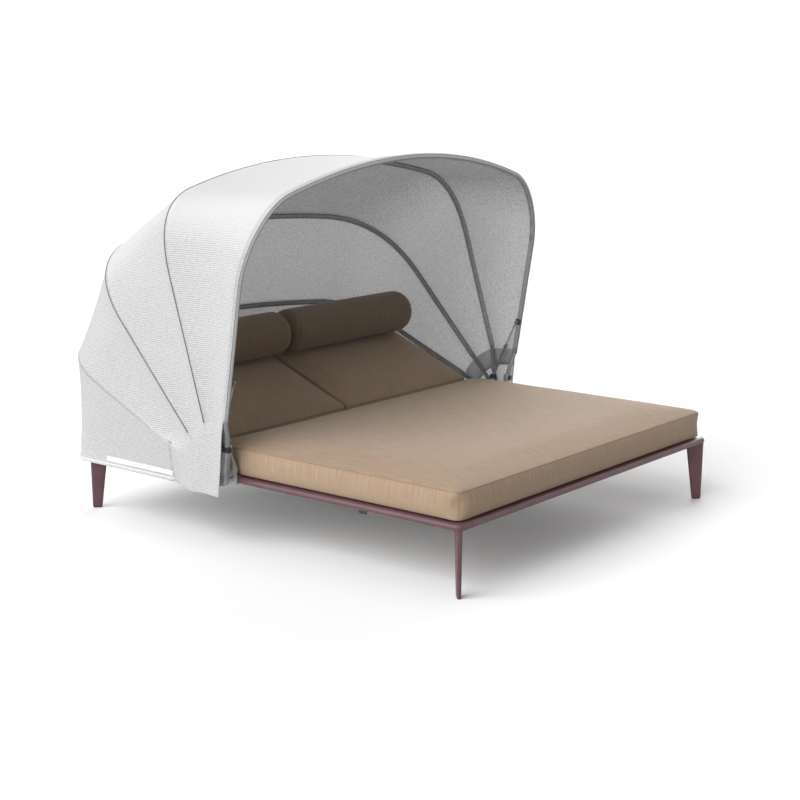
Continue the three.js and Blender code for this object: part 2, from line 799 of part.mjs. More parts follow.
function addBackrests() {
  const group = leaningGroup(hingePlace, hingeHeight, -restRecline);
  const cushionLow = slatThickness / 2 + touchGap;
  for (const [side, xSign] of Object.entries(sides)) {
    addPiece(`backrest_frame_${side}`, backrestFrame(xSign), plainAluminium, group);
    const inner = xSign * backCushionSplit;
    const outer = xSign * (halfWidth - mattressSetIn);
    const box = {
      left: Math.min(inner, outer),
      right: Math.max(inner, outer),
      front: backCushionFootTop,
      rear: backCushionLength,
    };
    const slant = backCushionFootTop - backCushionFootBottom;
    const cushion = crownedCushion(box, cushionLow, backCushionSide, backCushionCrown, slant);
    addPiece(`backrest_cushion_${side}`, cushion, cushionFabric, group);
    const roll = addPiece(`bolster_${side}`, bolster(), cushionFabric, group);
    const start = xSign > 0 ? bolsterInnerEnd : -bolsterInnerEnd - bolsterLength;
    const rest = cushionLow + backCushionSide + bolsterRestShare * backCushionCrown;
    const height = rest + touchGap + bolsterRadius;
    roll.position.set(start, bolsterPlace, height);
    const rodEnds = [backrestSplit + 2 * touchGap, backrestOuter - 2 * touchGap].map((x) => x * xSign);
    const [rodLow, rodHigh] = rodEnds.sort((a, b) => a - b);
    const rod = cylinderX(hingeRodRadius, rodLow, rodHigh, hingePlace, hingeHeight);
    addPiece(`hinge_rod_${side}`, rod, tubeAluminium);
  }
}

// Props: a bail on each backrest, whose foot rod follows a notched rack as the backrest reclines.
function propPivot(recline) {
  const turn = THREE.MathUtils.degToRad(recline);
  return [
    hingePlace + propPlace * Math.cos(turn) + propDrop * Math.sin(turn),
    hingeHeight + propPlace * Math.sin(turn) - propDrop * Math.cos(turn),
  ];
}

const propRestFall = propPivot(restRecline)[1] - propFootHeight;
const propRestDip = THREE.MathUtils.radToDeg(Math.asin(propRestFall / propLength));

function propFoot(recline) {
  const dip = propRestDip + (propRatio - 1) * (recline - restRecline);
  const turn = THREE.MathUtils.degToRad(dip);
  const [y, z] = propPivot(recline);
  return [y + propLength * Math.cos(turn), z - propLength * Math.sin(turn)];
}

// The rack's crest height at a place along the bed, under the foot rod's path.
function rackCrest(place) {
  let near = null;
  for (let recline = 0; recline <= topRecline; recline += 1) {
    const foot = propFoot(recline);
    const away = Math.abs(foot[0] - place);
    if (near === null || away < near.away) near = { away, height: foot[1] };
  }
  return Math.min(near.height - propRodRadius - 2 * touchGap, rackTopLimit);
}

function rack() {
  const front = rackBearerPlace + bearerWidth / 2 + touchGap;
  const rear = headBearerPlace - bearerWidth / 2 - touchGap;
  const base = bearerTop + touchGap;
  const tab = base + rackTabHeight;
  const lowest = Math.min(...Array.from({ length: topRecline }, (_, i) => rackCrest(propFoot(i)[0])));
  const under = lowest - rackNotchDepth - rackSpine;
  const points = [
    [front - rackTabLength, base],
    [front, base],
    [front, under],
    [rear, under],
    [rear, base],
    [rear + rackTabLength, base],
    [rear + rackTabLength, tab],
    [rear, tab],
  ];
  const firstTip = propFoot(0)[0] + rackPitch / 2;
  const teeth = Math.floor((firstTip - front - rackPitch) / rackPitch);
  for (let i = 0; i < teeth; i += 1) {
    const tip = firstTip - i * rackPitch;
    const crest = Math.min(rackCrest(tip), rackCrest(tip - rackPitch), rackCrest(tip + rackPitch / 2));
    const notch = Math.min(crest, lowest + rackNotchDepth) - rackNotchDepth;
    points.push([tip, crest], [tip - rackNotchShare * rackPitch, notch]);
  }
  points.push([firstTip - teeth * rackPitch, tab], [front - rackTabLength, tab]);
  return extrudeX(outline(points), -rackWidth / 2, rackWidth / 2);
}

function propBail() {
  const bend = propBend;
  const end = propHalfWidth + propStub;
  const half = [
    [-end, 0],
    [-propHalfWidth - bend / 2, 0],
    [-propHalfWidth - bend / 8, bend / 8],
    [-propHalfWidth, bend / 2],
    [-propHalfWidth, propLength - bend],
    [-propHalfWidth + bend / 4, propLength - bend / 4],
    [-propHalfWidth + bend, propLength],
  ];
  const mirrored = half.map(([x, z]) => [-x, z]).reverse();
  return planarTube([...half, ...mirrored], propRodRadius, 8);
}

function addProps() {
  const rackShape = rack();
  const bailShape = propBail();
  const [y, z] = propPivot(restRecline);
  for (const [side, xSign] of Object.entries(sides)) {
    const rackPiece = addPiece(`prop_rack_${side}`, rackShape, greyTube);
    rackPiece.position.x = xSign * backrestMiddle;
    const group = leaningGroup(y, z, uprightLean + propRestDip);
    const bail = addPiece(`prop_bail_${side}`, bailShape, tubeAluminium, group);
    bail.position.x = xSign * backrestMiddle;
  }
}

// Canopy hoops. A profile is a list of [x, radius]: straight leg, curved corner, then a shallow crown.
function hoopProfile(hoop, start, reach = 0) {
  const flatTop = hoop.top - hoop.crown;
  const slope = (2 * hoop.crown) / (hoop.shoulder - hoop.corner);
  const along = new THREE.Vector2(hoop.shoulder - hoop.foot, hoop.leg).normalize();
  const out = new THREE.Vector2(-1, slope).normalize();
  const a = new THREE.Vector2(hoop.shoulder, hoop.leg);
  const d = new THREE.Vector2(hoop.shoulder - hoop.corner, flatTop);
  const b = a.clone().addScaledVector(along, (flatTop - hoop.leg) * hoop.low);
  const c = d.clone().addScaledVector(out, -hoop.corner * hoop.high);
  const corner = new THREE.CubicBezierCurve(a, b, c, d).getPoints(cornerSteps);
  const points = [];
  for (let i = 0; i < legSteps; i += 1) {
    const radius = start + ((hoop.leg - start) * i) / legSteps;
    points.push(new THREE.Vector2(hoop.foot + ((hoop.shoulder - hoop.foot) * radius) / hoop.leg, radius));
  }
  points.push(...corner);
  for (let i = 1; i <= crownSteps; i += 1) {
    const x = d.x * (1 - i / crownSteps);
    points.push(new THREE.Vector2(x, flatTop + hoop.crown * (1 - (x / d.x) ** 2)));
  }
  const half = points.map((point, i) => {
    const before = points[Math.max(i - 1, 0)];
    const after = points[i + 1] ?? new THREE.Vector2(-before.x, before.y);
    const tangent = after.clone().sub(before).normalize();
    return [point.x + tangent.y * reach, point.y - tangent.x * reach];
  });
  const mirrored = half.slice(0, -1).map(([x, r]) => [-x, r]).reverse();
  return [...half, ...mirrored];
}

function hoopEndBar(name, hoop) {
  const inner = hoopStacks[name];
  const outer = inner + hoopBarThickness;
  const x = hoop.foot + ((hoop.shoulder - hoop.foot) * tubeStart) / hoop.leg;
  const half = hoopBarThickness / 2;
  const topRadius = tubeStart + barRoot;
  const profile = outline([
    [inner, 0],
    [outer, 0],
    [outer, barBend],
    [x + half, tubeStart],
    [x + half, topRadius],
    [x - half, topRadius],
    [x - half, tubeStart],
    [inner, barBend],
  ]);
  const bar = new THREE.ExtrudeGeometry(profile, { depth: hoopBarWidth, bevelEnabled: false });
  bar.rotateX(flatTurn);
  bar.translate(0, hoopBarWidth / 2, 0);
  const hole = cylinderX(axleRadius + runningGap, inner - overrun, outer + overrun, 0, 0);
  return cut(join(bar, cylinderX(eyeRadius, inner, outer, 0, 0)), hole);
}

function plainHoop(name) {
  const hoop = hoops[name];
  const tube = planarTube(hoopProfile(hoop, tubeStart), tubeRadius);
  const right = hoopEndBar(name, hoop);
  const left = right.clone();
  left.rotateZ(Math.PI);
  return join(tube, right, left);
}

function frontHoop() {
  const hoop = hoops.front;
  const path = hoopProfile(hoop, tubeStart);
  const axis = hoopStacks.front + knuckleThickness / 2;
  const crank = path[0][0] - axis;
  const start = knuckleLength + touchGap;
  const crankShares = [[0, 0], [0.12, 0], [0.35, 0.2], [0.65, 0.8], [0.88, 1]];
  const lead = crankShares.map(([along, out]) => [axis + crank * out, start + (tubeStart - start) * along]);
  const tail = lead.map(([x, r]) => [-x, r]).reverse();
  return planarTube([...lead, ...path, ...tail], tubeRadius);
}

function knuckle(xSign) {
  const inner = hoopStacks.front;
  const outer = inner + knuckleThickness;
  const [low, high] = xSign > 0 ? [inner, outer] : [-outer, -inner];
  const half = knuckleWidth / 2;
  const profile = new THREE.Shape();
  profile.moveTo(half, knuckleLength);
  profile.lineTo(-half, knuckleLength);
  profile.absarc(0, 0, half, Math.PI, 2 * Math.PI, false);
  profile.closePath();
  const hole = cylinderX(axleRadius + runningGap, low - overrun, high + overrun, 0, 0);
  return cut(extrudeX(profile, low, high, 6), hole);
}

function addHoops(groups) {
  addPiece('front_hoop', frontHoop(), tubeAluminium, groups.front);
  for (const [side, xSign] of Object.entries(sides)) {
    addPiece(`front_hoop_knuckle_${side}`, knuckle(xSign), tubeAluminium, groups.front);
  }
  for (const name of hoopNames.slice(1)) {
    addPiece(`${name}_hoop`, plainHoop(name), tubeAluminium, groups[name]);
  }
}

// Hub bracket on each side rail: foot on the rail's top, plate down its face, guide arm and stub axle.
function hubBracket() {
  const footTop = railTop + touchGap + hubFootThickness;
  const foot = boxBetween(
    [halfWidth - hubFootReach, pivotPlace - hubFootWidth / 2, railTop + touchGap],
    [plateOuter, pivotPlace + hubFootWidth / 2, footTop],
  );
  const plate = boxBetween(
    [plateInner, pivotPlace - hubPlateWidth / 2, hubPlateBottom],
    [plateOuter, pivotPlace + hubPlateWidth / 2, hubPlateTop],
  );
  const armOuter = hoopStacks.front - touchGap;
  const armInner = armOuter - guideArmThickness;
  const bend = hubPlateTop + guideArmRise;
  const armTop = bend + guideArmUpright;
  const root = hubPlateTop - guideArmThickness;
  const armProfile = outline([
    [plateInner, root],
    [plateOuter, root],
    [armOuter, bend],
    [armOuter, armTop],
    [armInner, armTop],
    [armInner, bend],
    [plateInner, root + guideArmThickness],
  ]);
  const arm = new THREE.ExtrudeGeometry(armProfile, { depth: guideArmWidth, bevelEnabled: false });
  arm.rotateX(flatTurn);
  arm.translate(0, pivotPlace - guideArmSetBack, 0);
  const axleEnd = hoopStacks.rear + hoopBarThickness + eyeGap + capThickness / 2;
  const shoulderRoot = plateOuter - hubPlateThickness / 2;
  const shoulderEnd = hoopStacks.second - eyeGap;
  const shoulder = cylinderX(axleShoulderRadius, shoulderRoot, shoulderEnd, pivotPlace, pivotHeight);
  const axle = cylinderX(axleRadius, plateOuter, axleEnd, pivotPlace, pivotHeight);
  const screwPlace = plateInner - bracketScrewInset;
  const holeRadius = bracketScrewRadius / 2;
  const screwHole = new THREE.CylinderGeometry(holeRadius, holeRadius, 4 * hubFootThickness, 12);
  screwHole.rotateX(flatTurn);
  screwHole.translate(screwPlace, pivotPlace, footTop);
  return cut(join(foot, plate, arm, shoulder, axle), screwHole);
}

function axleCap() {
  const from = hoopStacks.rear + hoopBarThickness + eyeGap;
  const cap = cylinderX(capRadius, from, from + capThickness, pivotPlace, pivotHeight);
  const bore = cylinderX(
    axleRadius + runningGap,
    from - overrun,
    from + capThickness / 2 + touchGap,
    pivotPlace,
    pivotHeight,
  );
  return cut(cap, bore);
}

function bracketScrew() {
  const headBottom = railTop + 2 * touchGap + hubFootThickness;
  const head = new THREE.CylinderGeometry(bracketScrewRadius, bracketScrewRadius, bracketScrewHead, 12);
  head.rotateX(flatTurn);
  head.translate(plateInner - bracketScrewInset, pivotPlace, headBottom + bracketScrewHead / 2);
  const shankRadius = bracketScrewRadius / 2 - touchGap;
  const shank = new THREE.CylinderGeometry(shankRadius, shankRadius, hubFootThickness, 12);
  shank.rotateX(flatTurn);
  shank.translate(plateInner - bracketScrewInset, pivotPlace, headBottom - hubFootThickness / 2 + touchGap);
  return join(head, shank);
}

function addHubs() {
  const shapes = { hub_bracket: hubBracket(), axle_cap: axleCap(), bracket_screw: bracketScrew() };
  for (const [side, xSign] of Object.entries(sides)) {
    const group = new THREE.Group();
    group.scale.x = xSign;
    daybed.add(group);
    addPiece(`hub_bracket_${side}`, shapes.hub_bracket, tubeAluminium, group);
    addPiece(`axle_cap_${side}`, shapes.axle_cap, greyTube, group);
    addPiece(`bracket_screw_${side}`, shapes.bracket_screw, greyTube, group);
  }
}

// Fabric panels: sheets from hoop to hoop that sag between them.
function onHoop(name, [x, radius]) {
  const lean = THREE.MathUtils.degToRad(hoops[name].lean);
  return [x, pivotPlace + radius * Math.sin(lean), pivotHeight + radius * Math.cos(lean)];
}

function panel(fromName, toName) {
  const rowsAcross = 4;
  const face = (depth) => {
    const fromProfile = hoopProfile(hoops[fromName], fabricStart, depth);
    const toProfile = hoopProfile(hoops[toName], fabricStart, depth);
    const fromLean = hoops[fromName].lean;
    const toLean = hoops[toName].lean;
    const trim = THREE.MathUtils.radToDeg(touchGap / fabricStart);
    const grid = [];
    for (let r = 0; r <= rowsAcross; r += 1) {
      const share = r / rowsAcross;
      const lean = fromLean + trim + (toLean - fromLean - 2 * trim) * share;
      const turn = THREE.MathUtils.degToRad(lean);
      const row = fromProfile.map(([x, radius], i) => {
        const [toX, toRadius] = toProfile[i];
        const mixX = x + (toX - x) * share;
        const mixRadius = radius + (toRadius - radius) * share;
        const growth = Math.min((mixRadius - fabricStart) / (tubeStart - fabricStart), 1);
        const rise = Math.min(Math.max((mixRadius - crownSagFrom) / (crownSagTo - crownSagFrom), 0), 1);
        const fullSag = fabricSag + (fromName === "front" ? crownSag * rise : 0);
        const sag = fullSag * 4 * share * (1 - share) * Math.max(growth, 0);
        const length = Math.hypot(mixX, mixRadius);
        const easeX = (mixX / length) * sag;
        const easeRadius = (mixRadius / length) * sag;
        const finalRadius = mixRadius - easeRadius;
        return [
          mixX - easeX,
          pivotPlace + finalRadius * Math.sin(turn),
          pivotHeight + finalRadius * Math.cos(turn),
        ];
      });
      grid.push(row);
    }
    return grid;
  };
  return sheetBody(face(panelReach + fabricThickness), face(panelReach));
}

// Back skirt: from the rear hoop down to a hem that runs round the head end of the frame.
function hemPoint(top, index, count) {
  const half = (count - 1) / 2;
  const i = Math.min(index, count - 1 - index);
  const bendStart = legSteps + cornerSteps / 2;
  const bendEnd = legSteps + cornerSteps;
  const bendPlace = hemRear - hemCorner;
  const straight = hemHalfWidth - hemCorner;
  const legTop = pivotPlace + hoops.rear.leg * Math.sin(THREE.MathUtils.degToRad(hoops.rear.lean));
  let x = hemHalfWidth;
  let y = hemRear;
  if (i <= legSteps) {
    y = top.y;
  } else if (i <= bendStart) {
    y = legTop + ((bendPlace - legTop) * (i - legSteps)) / (bendStart - legSteps);
  } else if (i <= bendEnd) {
    const turn = (flatTurn * (i - bendStart)) / (bendEnd - bendStart);
    x = straight + hemCorner * Math.cos(turn);
    y = bendPlace + hemCorner * Math.sin(turn);
  } else {
    x = (straight * (half - i)) / (half - bendEnd);
  }
  return new THREE.Vector3(index > half ? -x : x, y, hemHeight);
}

function backSkirt() {
  const rowsDown = 4;
  const turn = THREE.MathUtils.degToRad(hoops.rear.lean) + touchGap / fabricStart;
  const place = ([x, radius]) => new THREE.Vector3(
    x,
    pivotPlace + radius * Math.sin(turn),
    pivotHeight + radius * Math.cos(turn),
  );
  const centres = hoopProfile(hoops.rear, skirtStart).map(place);
  const outwards = hoopProfile(hoops.rear, skirtStart, 1).map(place);
  const planCentre = new THREE.Vector3(0, hemRear - hemHalfWidth, hemHeight);
  const face = (depth) => {
    const grid = Array.from({ length: rowsDown + 2 }, () => []);
    centres.forEach((centre, i) => {
      const hem = hemPoint(centre, i, centres.length);
      const plan = hem.clone().sub(planCentre).normalize();
      hem.addScaledVector(plan, depth - panelReach - fabricThickness);
      const fall = hem.clone().sub(centre);
      const length = fall.length();
      fall.normalize();
      const outward = outwards[i].clone().sub(centre);
      const away = outward.clone().addScaledVector(fall, -outward.dot(fall)).normalize();
      const top = centre.clone().addScaledVector(away, depth);
      grid[0].push(centre.clone().addScaledVector(outward, depth).toArray());
      for (let r = 0; r <= rowsDown; r += 1) {
        const share = r / rowsDown;
        const sag = skirtSagShare * length * 4 * share * (1 - share);
        grid[r + 1].push(top.clone().lerp(hem, share).addScaledVector(away, -sag).toArray());
      }
    });
    return grid;
  };
  return sheetBody(face(panelReach + fabricThickness), face(panelReach));
}

// Hub flap on each side: hangs over the hub, under the start of the panels.
function hubFlap() {
  const radius = fabricStart - 4 * touchGap;
  const rear = THREE.MathUtils.degToRad(hoops.rear.lean);
  const front = THREE.MathUtils.degToRad(hoops.front.lean);
  const skirtFront = pivotPlace + skirtStart * Math.sin(rear) - touchGap;
  const skirtTop = pivotHeight + skirtStart * Math.cos(rear) - touchGap;
  const points = [
    [pivotPlace - flapFront, flapBottom],
    [pivotPlace + flapLevel, flapBottom],
    [pivotPlace + flapRear, flapBottom + flapRise],
    [pivotPlace + flapRear, hemHeight],
    [skirtFront, hemHeight],
    [skirtFront, skirtTop],
  ];
  const arcSteps = 8;
  for (let i = 0; i <= arcSteps; i += 1) {
    const turn = rear + ((front - rear) * i) / arcSteps;
    points.push([pivotPlace + radius * Math.sin(turn), pivotHeight + radius * Math.cos(turn)]);
  }
  const top = pivotHeight + radius * Math.cos(front);
  points.push([pivotPlace - flapFront - flapBow, (top + pivotHeight) / 2]);
  const inner = hoopStacks.rear + hoopBarThickness + eyeGap + capThickness + touchGap;
  return extrudeX(outline(points), inner, inner + fabricThickness);
}

function addFabric() {
  addPiece('canopy_front_panel', panel('front', 'second'), shadeFabric);
  addPiece('canopy_middle_panel', panel('second', 'third'), shadeFabric);
  addPiece('canopy_rear_panel', panel('third', 'rear'), shadeFabric);
  addPiece('back_skirt', backSkirt(), shadeFabric);
  const flap = hubFlap();
  for (const [side, xSign] of Object.entries(sides)) {
    const group = new THREE.Group();
    group.scale.x = xSign;
    daybed.add(group);
    addPiece(`hub_flap_${side}`, flap, shadeFabric, group);
  }
}

// Stays: an outer tube on the second hoop, a perforated rod sliding in it, and its spring button.
const frontSpread = (hoops.front.shoulder - hoops.front.foot) / hoops.front.leg;
const frontTubeX = hoops.front.foot + frontSpread * stayHighRadius;
const stayLowPlace = hoopStacks.second - stayLowGap;
const stayHighPlace = frontTubeX - stayHighGap;
const stayLow = onHoop('second', [stayLowPlace, stayLowRadius]);
const stayHigh = onHoop('front', [stayHighPlace, stayHighRadius]);
const stayRise = Math.hypot(stayHigh[1] - stayLow[1], stayHigh[2] - stayLow[2]);
const stayLean = THREE.MathUtils.radToDeg(Math.atan2(stayHigh[1] - stayLow[1], stayHigh[2] - stayLow[2]));
const stayLine = (along) => [stayLowPlace + ((stayHighPlace - stayLowPlace) * along) / stayRise, along];

function stayTab(x, z, radius, holeRadius, reachTo) {
  const low = x - stayTabThickness / 2;
  const high = x + stayTabThickness / 2;
  const neck = boxBetween(
    [low, -stayRodRadius, Math.min(z, reachTo)],
    [high, stayRodRadius, Math.max(z, reachTo)],
  );
  const disc = join(cylinderX(radius, low, high, 0, z), neck);
  return cut(disc, cylinderX(holeRadius, low - overrun, high + overrun, 0, z));
}

function stayTube() {
  const end = stayTubeStart + stayTubeLength;
  const body = planarTube([stayLine(stayTubeStart), stayLine(end)], stayTubeRadius, 14);
  const collar = planarTube([stayLine(end - stayCollarLength), stayLine(end)], stayCollarRadius, 14);
  const bore = planarTube([stayLine(stayBoreStart), stayLine(end + overrun)], stayRodRadius + runningGap, 14);
  const tab = stayTab(stayLowPlace, 0, stayTabRadius, clampPinRadius + runningGap, stayTubeStart + overrun);
  const [x, z] = stayLine(end - buttonSetBack);
  const hole = cylinderX(buttonRadius + runningGap, x - stayCollarRadius - overrun, x, 0, z, 12);
  return cut(join(body, collar, tab), bore, hole);
}

function stayRod() {
  const tabPlace = stayHighPlace;
  const end = stayRise - 2 * stayTabRadius;
  const body = planarTube([stayLine(stayRodStart), stayLine(end)], stayRodRadius, 12);
  const tab = stayTab(tabPlace, stayRise, stayRodTabRadius, clampPinRadius + runningGap, end - overrun);
  const holes = [];
  for (let i = 0; i < stayHoles; i += 1) {
    const [x, z] = stayLine(stayRise - stayEndMargin - i * stayHolePitch);
    holes.push(cylinderX(stayHoleRadius, x - stayRodRadius - overrun, x + stayRodRadius + overrun, 0, z, 8));
  }
  return cut(join(body, tab), ...holes);
}

function stayButton() {
  const [x, z] = stayLine(stayTubeStart + stayTubeLength - buttonSetBack);
  const capEnd = x - stayCollarRadius - buttonStand;
  const pinEnd = x - stayRodRadius - runningGap - buttonTravel;
  const pin = cylinderX(buttonRadius, capEnd - buttonCapHeight / 2, pinEnd, 0, z, 12);
  const cap = cylinderX(buttonCapRadius, capEnd - buttonCapHeight, capEnd, 0, z, 12);
  return join(pin, cap);
}

function lowerClamp() {
  const outer = hoopStacks.second - touchGap;
  const inner = 2 * stayLowPlace - outer + touchGap;
  const block = cylinderX(clampRadius, inner, outer, 0, stayLowRadius);
  const slot = boxBetween(
    [stayLowPlace - clampSlot / 2, -clampRadius - overrun, stayLowRadius - clampRadius - overrun],
    [stayLowPlace + clampSlot / 2, clampRadius + overrun, stayLowRadius + clampRadius + overrun],
  );
  const pin = cylinderX(clampPinRadius, inner, outer, 0, stayLowRadius);
  return join(cut(block, slot), pin);
}

function upperClamp() {
  const bossEnd = stayHighPlace + stayTabThickness / 2 + touchGap;
  const blockEnd = frontTubeX - tubeRadius - clampWall;
  const block = boxBetween(
    [blockEnd, -clampRadius, stayHighRadius - clampHeight / 2],
    [frontTubeX, clampRadius, stayHighRadius + clampHeight / 2],
  );
  const seat = planarTube(
    [[frontTubeX, stayHighRadius - clampHeight], [frontTubeX, stayHighRadius + clampHeight]],
    tubeRadius + 2 * touchGap,
    20,
  );
  const boss = cylinderX(clampBossRadius, bossEnd, blockEnd + clampWall / 2, 0, stayHighRadius);
  return join(cut(block, seat), boss);
}

function addStays(groups) {
  const shapes = {
    tube: stayTube(),
    rod: stayRod(),
    button: stayButton(),
    lower: lowerClamp(),
    upper: upperClamp(),
  };
  for (const [side, xSign] of Object.entries(sides)) {
    const stayGroup = leaningGroup(stayLow[1], stayLow[2], stayLean);
    const mirrorGroup = (parent) => {
      const group = new THREE.Group();
      group.scale.x = xSign;
      parent.add(group);
      return group;
    };
    const own = mirrorGroup(stayGroup);
    addPiece(`stay_tube_${side}`, shapes.tube, greyTube, own);
    addPiece(`stay_rod_${side}`, shapes.rod, tubeAluminium, own);
    addPiece(`stay_button_${side}`, shapes.button, clampPlastic, own);
    addPiece(`stay_clamp_lower_${side}`, shapes.lower, clampPlastic, mirrorGroup(groups.second));
    addPiece(`stay_clamp_upper_${side}`, shapes.upper, clampPlastic, mirrorGroup(groups.front));
  }
}

addRails();
addCornerLegs();
addBearers();
addSeatDeck();
addMattress();
addBackrests();
addProps();
const hoopGroups = {};
for (const name of hoopNames) hoopGroups[name] = leaningGroup(pivotPlace, pivotHeight, hoops[name].lean);
addHoops(hoopGroups);
addHubs();
addFabric();
addStays(hoopGroups);

// The origin is on the floor under the middle of the whole outline.
daybed.updateMatrixWorld(true);
const reach = new THREE.Box3().setFromObject(daybed, true);
daybed.position.y = -(reach.min.y + reach.max.y) / 2;
daybed.updateMatrixWorld(true);

export default daybed;
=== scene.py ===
import math

import bpy
from mathutils import Matrix, Vector


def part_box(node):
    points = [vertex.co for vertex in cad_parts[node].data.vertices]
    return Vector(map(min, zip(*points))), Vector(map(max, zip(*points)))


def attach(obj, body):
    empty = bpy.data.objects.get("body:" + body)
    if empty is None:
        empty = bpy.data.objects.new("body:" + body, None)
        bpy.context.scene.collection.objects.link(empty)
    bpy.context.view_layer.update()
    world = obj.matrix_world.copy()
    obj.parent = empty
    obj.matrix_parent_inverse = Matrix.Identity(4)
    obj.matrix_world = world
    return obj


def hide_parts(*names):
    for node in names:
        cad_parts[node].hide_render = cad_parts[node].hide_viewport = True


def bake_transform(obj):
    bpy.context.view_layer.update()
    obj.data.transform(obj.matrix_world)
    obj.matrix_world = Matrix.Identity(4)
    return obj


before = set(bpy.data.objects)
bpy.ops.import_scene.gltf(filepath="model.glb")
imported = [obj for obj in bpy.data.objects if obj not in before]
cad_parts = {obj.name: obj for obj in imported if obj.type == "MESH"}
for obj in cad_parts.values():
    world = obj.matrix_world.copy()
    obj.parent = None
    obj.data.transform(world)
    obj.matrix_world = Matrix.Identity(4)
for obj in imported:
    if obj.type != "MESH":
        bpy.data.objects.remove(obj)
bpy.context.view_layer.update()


# Camera: a short telephoto lens off the foot end's left corner, about 0.4 m higher than the
# canopy's crown, looking slightly down.
camera_place = Vector((-5.6545, -4.6394, 1.9916))
camera_heading = math.radians(-51.215)
camera_dip = math.radians(11.764)
camera_back = Vector((
    math.sin(camera_heading) * math.cos(camera_dip),
    -math.cos(camera_heading) * math.cos(camera_dip),
    math.sin(camera_dip),
))
camera_lens = bpy.data.cameras.new("camera")
camera_lens.lens = 73.66
camera_lens.sensor_width = 36.0
camera = bpy.data.objects.new("camera", camera_lens)
camera.location = camera_place
camera.rotation_euler = (-camera_back).to_track_quat("-Z", "Y").to_euler()
bpy.context.collection.objects.link(camera)
bpy.context.scene.camera = camera
bpy.context.scene.view_settings.view_transform = "Standard"


# Studio: a pale seamless floor that keeps the bed's shadow, a broad soft lamp on the left side,
# a stronger one low on the right, a weak one above, and an even pale surround.
def linear(colour):
    """An sRGB hex colour as the linear values that a shader takes."""
    values = []
    for start in (1, 3, 5):
        part = int(colour[start:start + 2], 16) / 255
        values.append(part / 12.92 if part <= 0.04045 else ((part + 0.055) / 1.055) ** 2.4)
    return (*values, 1.0)


def node(tree, kind, settings=None, links=None):
    """Adds a node, sets its settings or sockets, and links its sockets to other outputs."""
    added = tree.nodes.new(kind)
    for name, value in (settings or {}).items():
        if isinstance(name, str) and hasattr(added, name):
            setattr(added, name, value)
        else:
            added.inputs[name].default_value = value
    for name, output in (links or {}).items():
        tree.links.new(output, added.inputs[name])
    return added


def ranged(tree, value, low, high, start, end):
    """A value between low and high, brought to between start and end."""
    settings = {1: low, 2: high, 3: start, 4: end}
    return node(tree, "ShaderNodeMapRange", settings, {0: value}).outputs[0]


def seen(tree, first, *others):
    """1 for rays of these kinds, and 0 for all others."""
    rays = node(tree, "ShaderNodeLightPath").outputs
    share = rays[f"Is {first} Ray"]
    for kind in others:
        share = node(tree, "ShaderNodeMath", {"operation": "MAXIMUM"}, {
            0: share, 1: rays[f"Is {kind} Ray"],
        }).outputs[0]
    return share


def soft_lamp(name, towards, strength, spread):
    """A distant soft lamp: the way to it, its strength on a face turned to it, its spread."""
    lamp_data = bpy.data.lights.new(name, "SUN")
    lamp_data.energy = strength * math.pi
    lamp_data.angle = math.radians(spread)
    lamp = bpy.data.objects.new(name, lamp_data)
    lamp.rotation_euler = (-Vector(towards)).to_track_quat("-Z", "Y").to_euler()
    bpy.context.collection.objects.link(lamp)


soft_lamp("side_lamp", (-0.88, 0.20, 0.42), 1.22, 75)
soft_lamp("top_lamp", (-0.1, 0.1, 1.0), 0.14, 70)
soft_lamp("back_lamp", (0.92, 0.36, 0.04), 1.50, 60)

surround = bpy.data.worlds.new("pale surround")
surround.use_nodes = True
bpy.context.scene.world = surround
surround_tree = surround.node_tree
surround_seen = seen(surround_tree, "Camera", "Glossy", "Transmission")
surround_strength = ranged(surround_tree, surround_seen, 0.0, 1.0, 0.26, 1.0)
surround_light = surround_tree.nodes["Background"]
surround_light.inputs["Color"].default_value = linear("#ffffff")
surround_tree.links.new(surround_strength, surround_light.inputs["Strength"])

# Seamless paper: matt, and as white to the lens as the surround where nothing shades it.
paper = bpy.data.materials.new("white studio paper")
paper.use_nodes = True
paper_tree = paper.node_tree
paper_tree.nodes.clear()
paper_white = ranged(paper_tree, seen(paper_tree, "Camera", "Glossy"), 0.0, 1.0, 0.64, 1.05)
paper_colour = node(paper_tree, "ShaderNodeCombineColor", {}, {
    0: paper_white, 1: paper_white, 2: paper_white,
})
paper_shader = node(paper_tree, "ShaderNodeBsdfDiffuse", {}, {"Color": paper_colour.outputs[0]})
node(paper_tree, "ShaderNodeOutputMaterial", {}, {"Surface": paper_shader.outputs[0]})
bpy.ops.mesh.primitive_plane_add(size=80, location=(0, 0, -0.0005))
floor = bpy.context.active_object
floor.name = "studio_floor"
floor.data.materials.append(paper)


# Side, foot and head rails: extruded aluminium with a half-round outer edge and an inner ledge
# for the slats, powder coated a dull burgundy and welded to the corner castings.
def alone(piece):
    """Makes this piece the only selected and active one."""
    if bpy.context.mode != "OBJECT":
        bpy.ops.object.mode_set(mode="OBJECT")
    bpy.ops.object.select_all(action="DESELECT")
    piece.select_set(True)
    bpy.context.view_layer.objects.active = piece


def block(name, low, high):
    """A box between two corners, its place in its mesh."""
    middle = [(a + b) / 2 for a, b in zip(low, high)]
    sizes = [abs(b - a) for a, b in zip(low, high)]
    bpy.ops.object.select_all(action="DESELECT")
    bpy.ops.mesh.primitive_cube_add(size=1, location=middle, scale=sizes)
    piece = bpy.context.active_object
    piece.name = name
    bpy.ops.object.transform_apply(location=True, rotation=True, scale=True)
    return piece


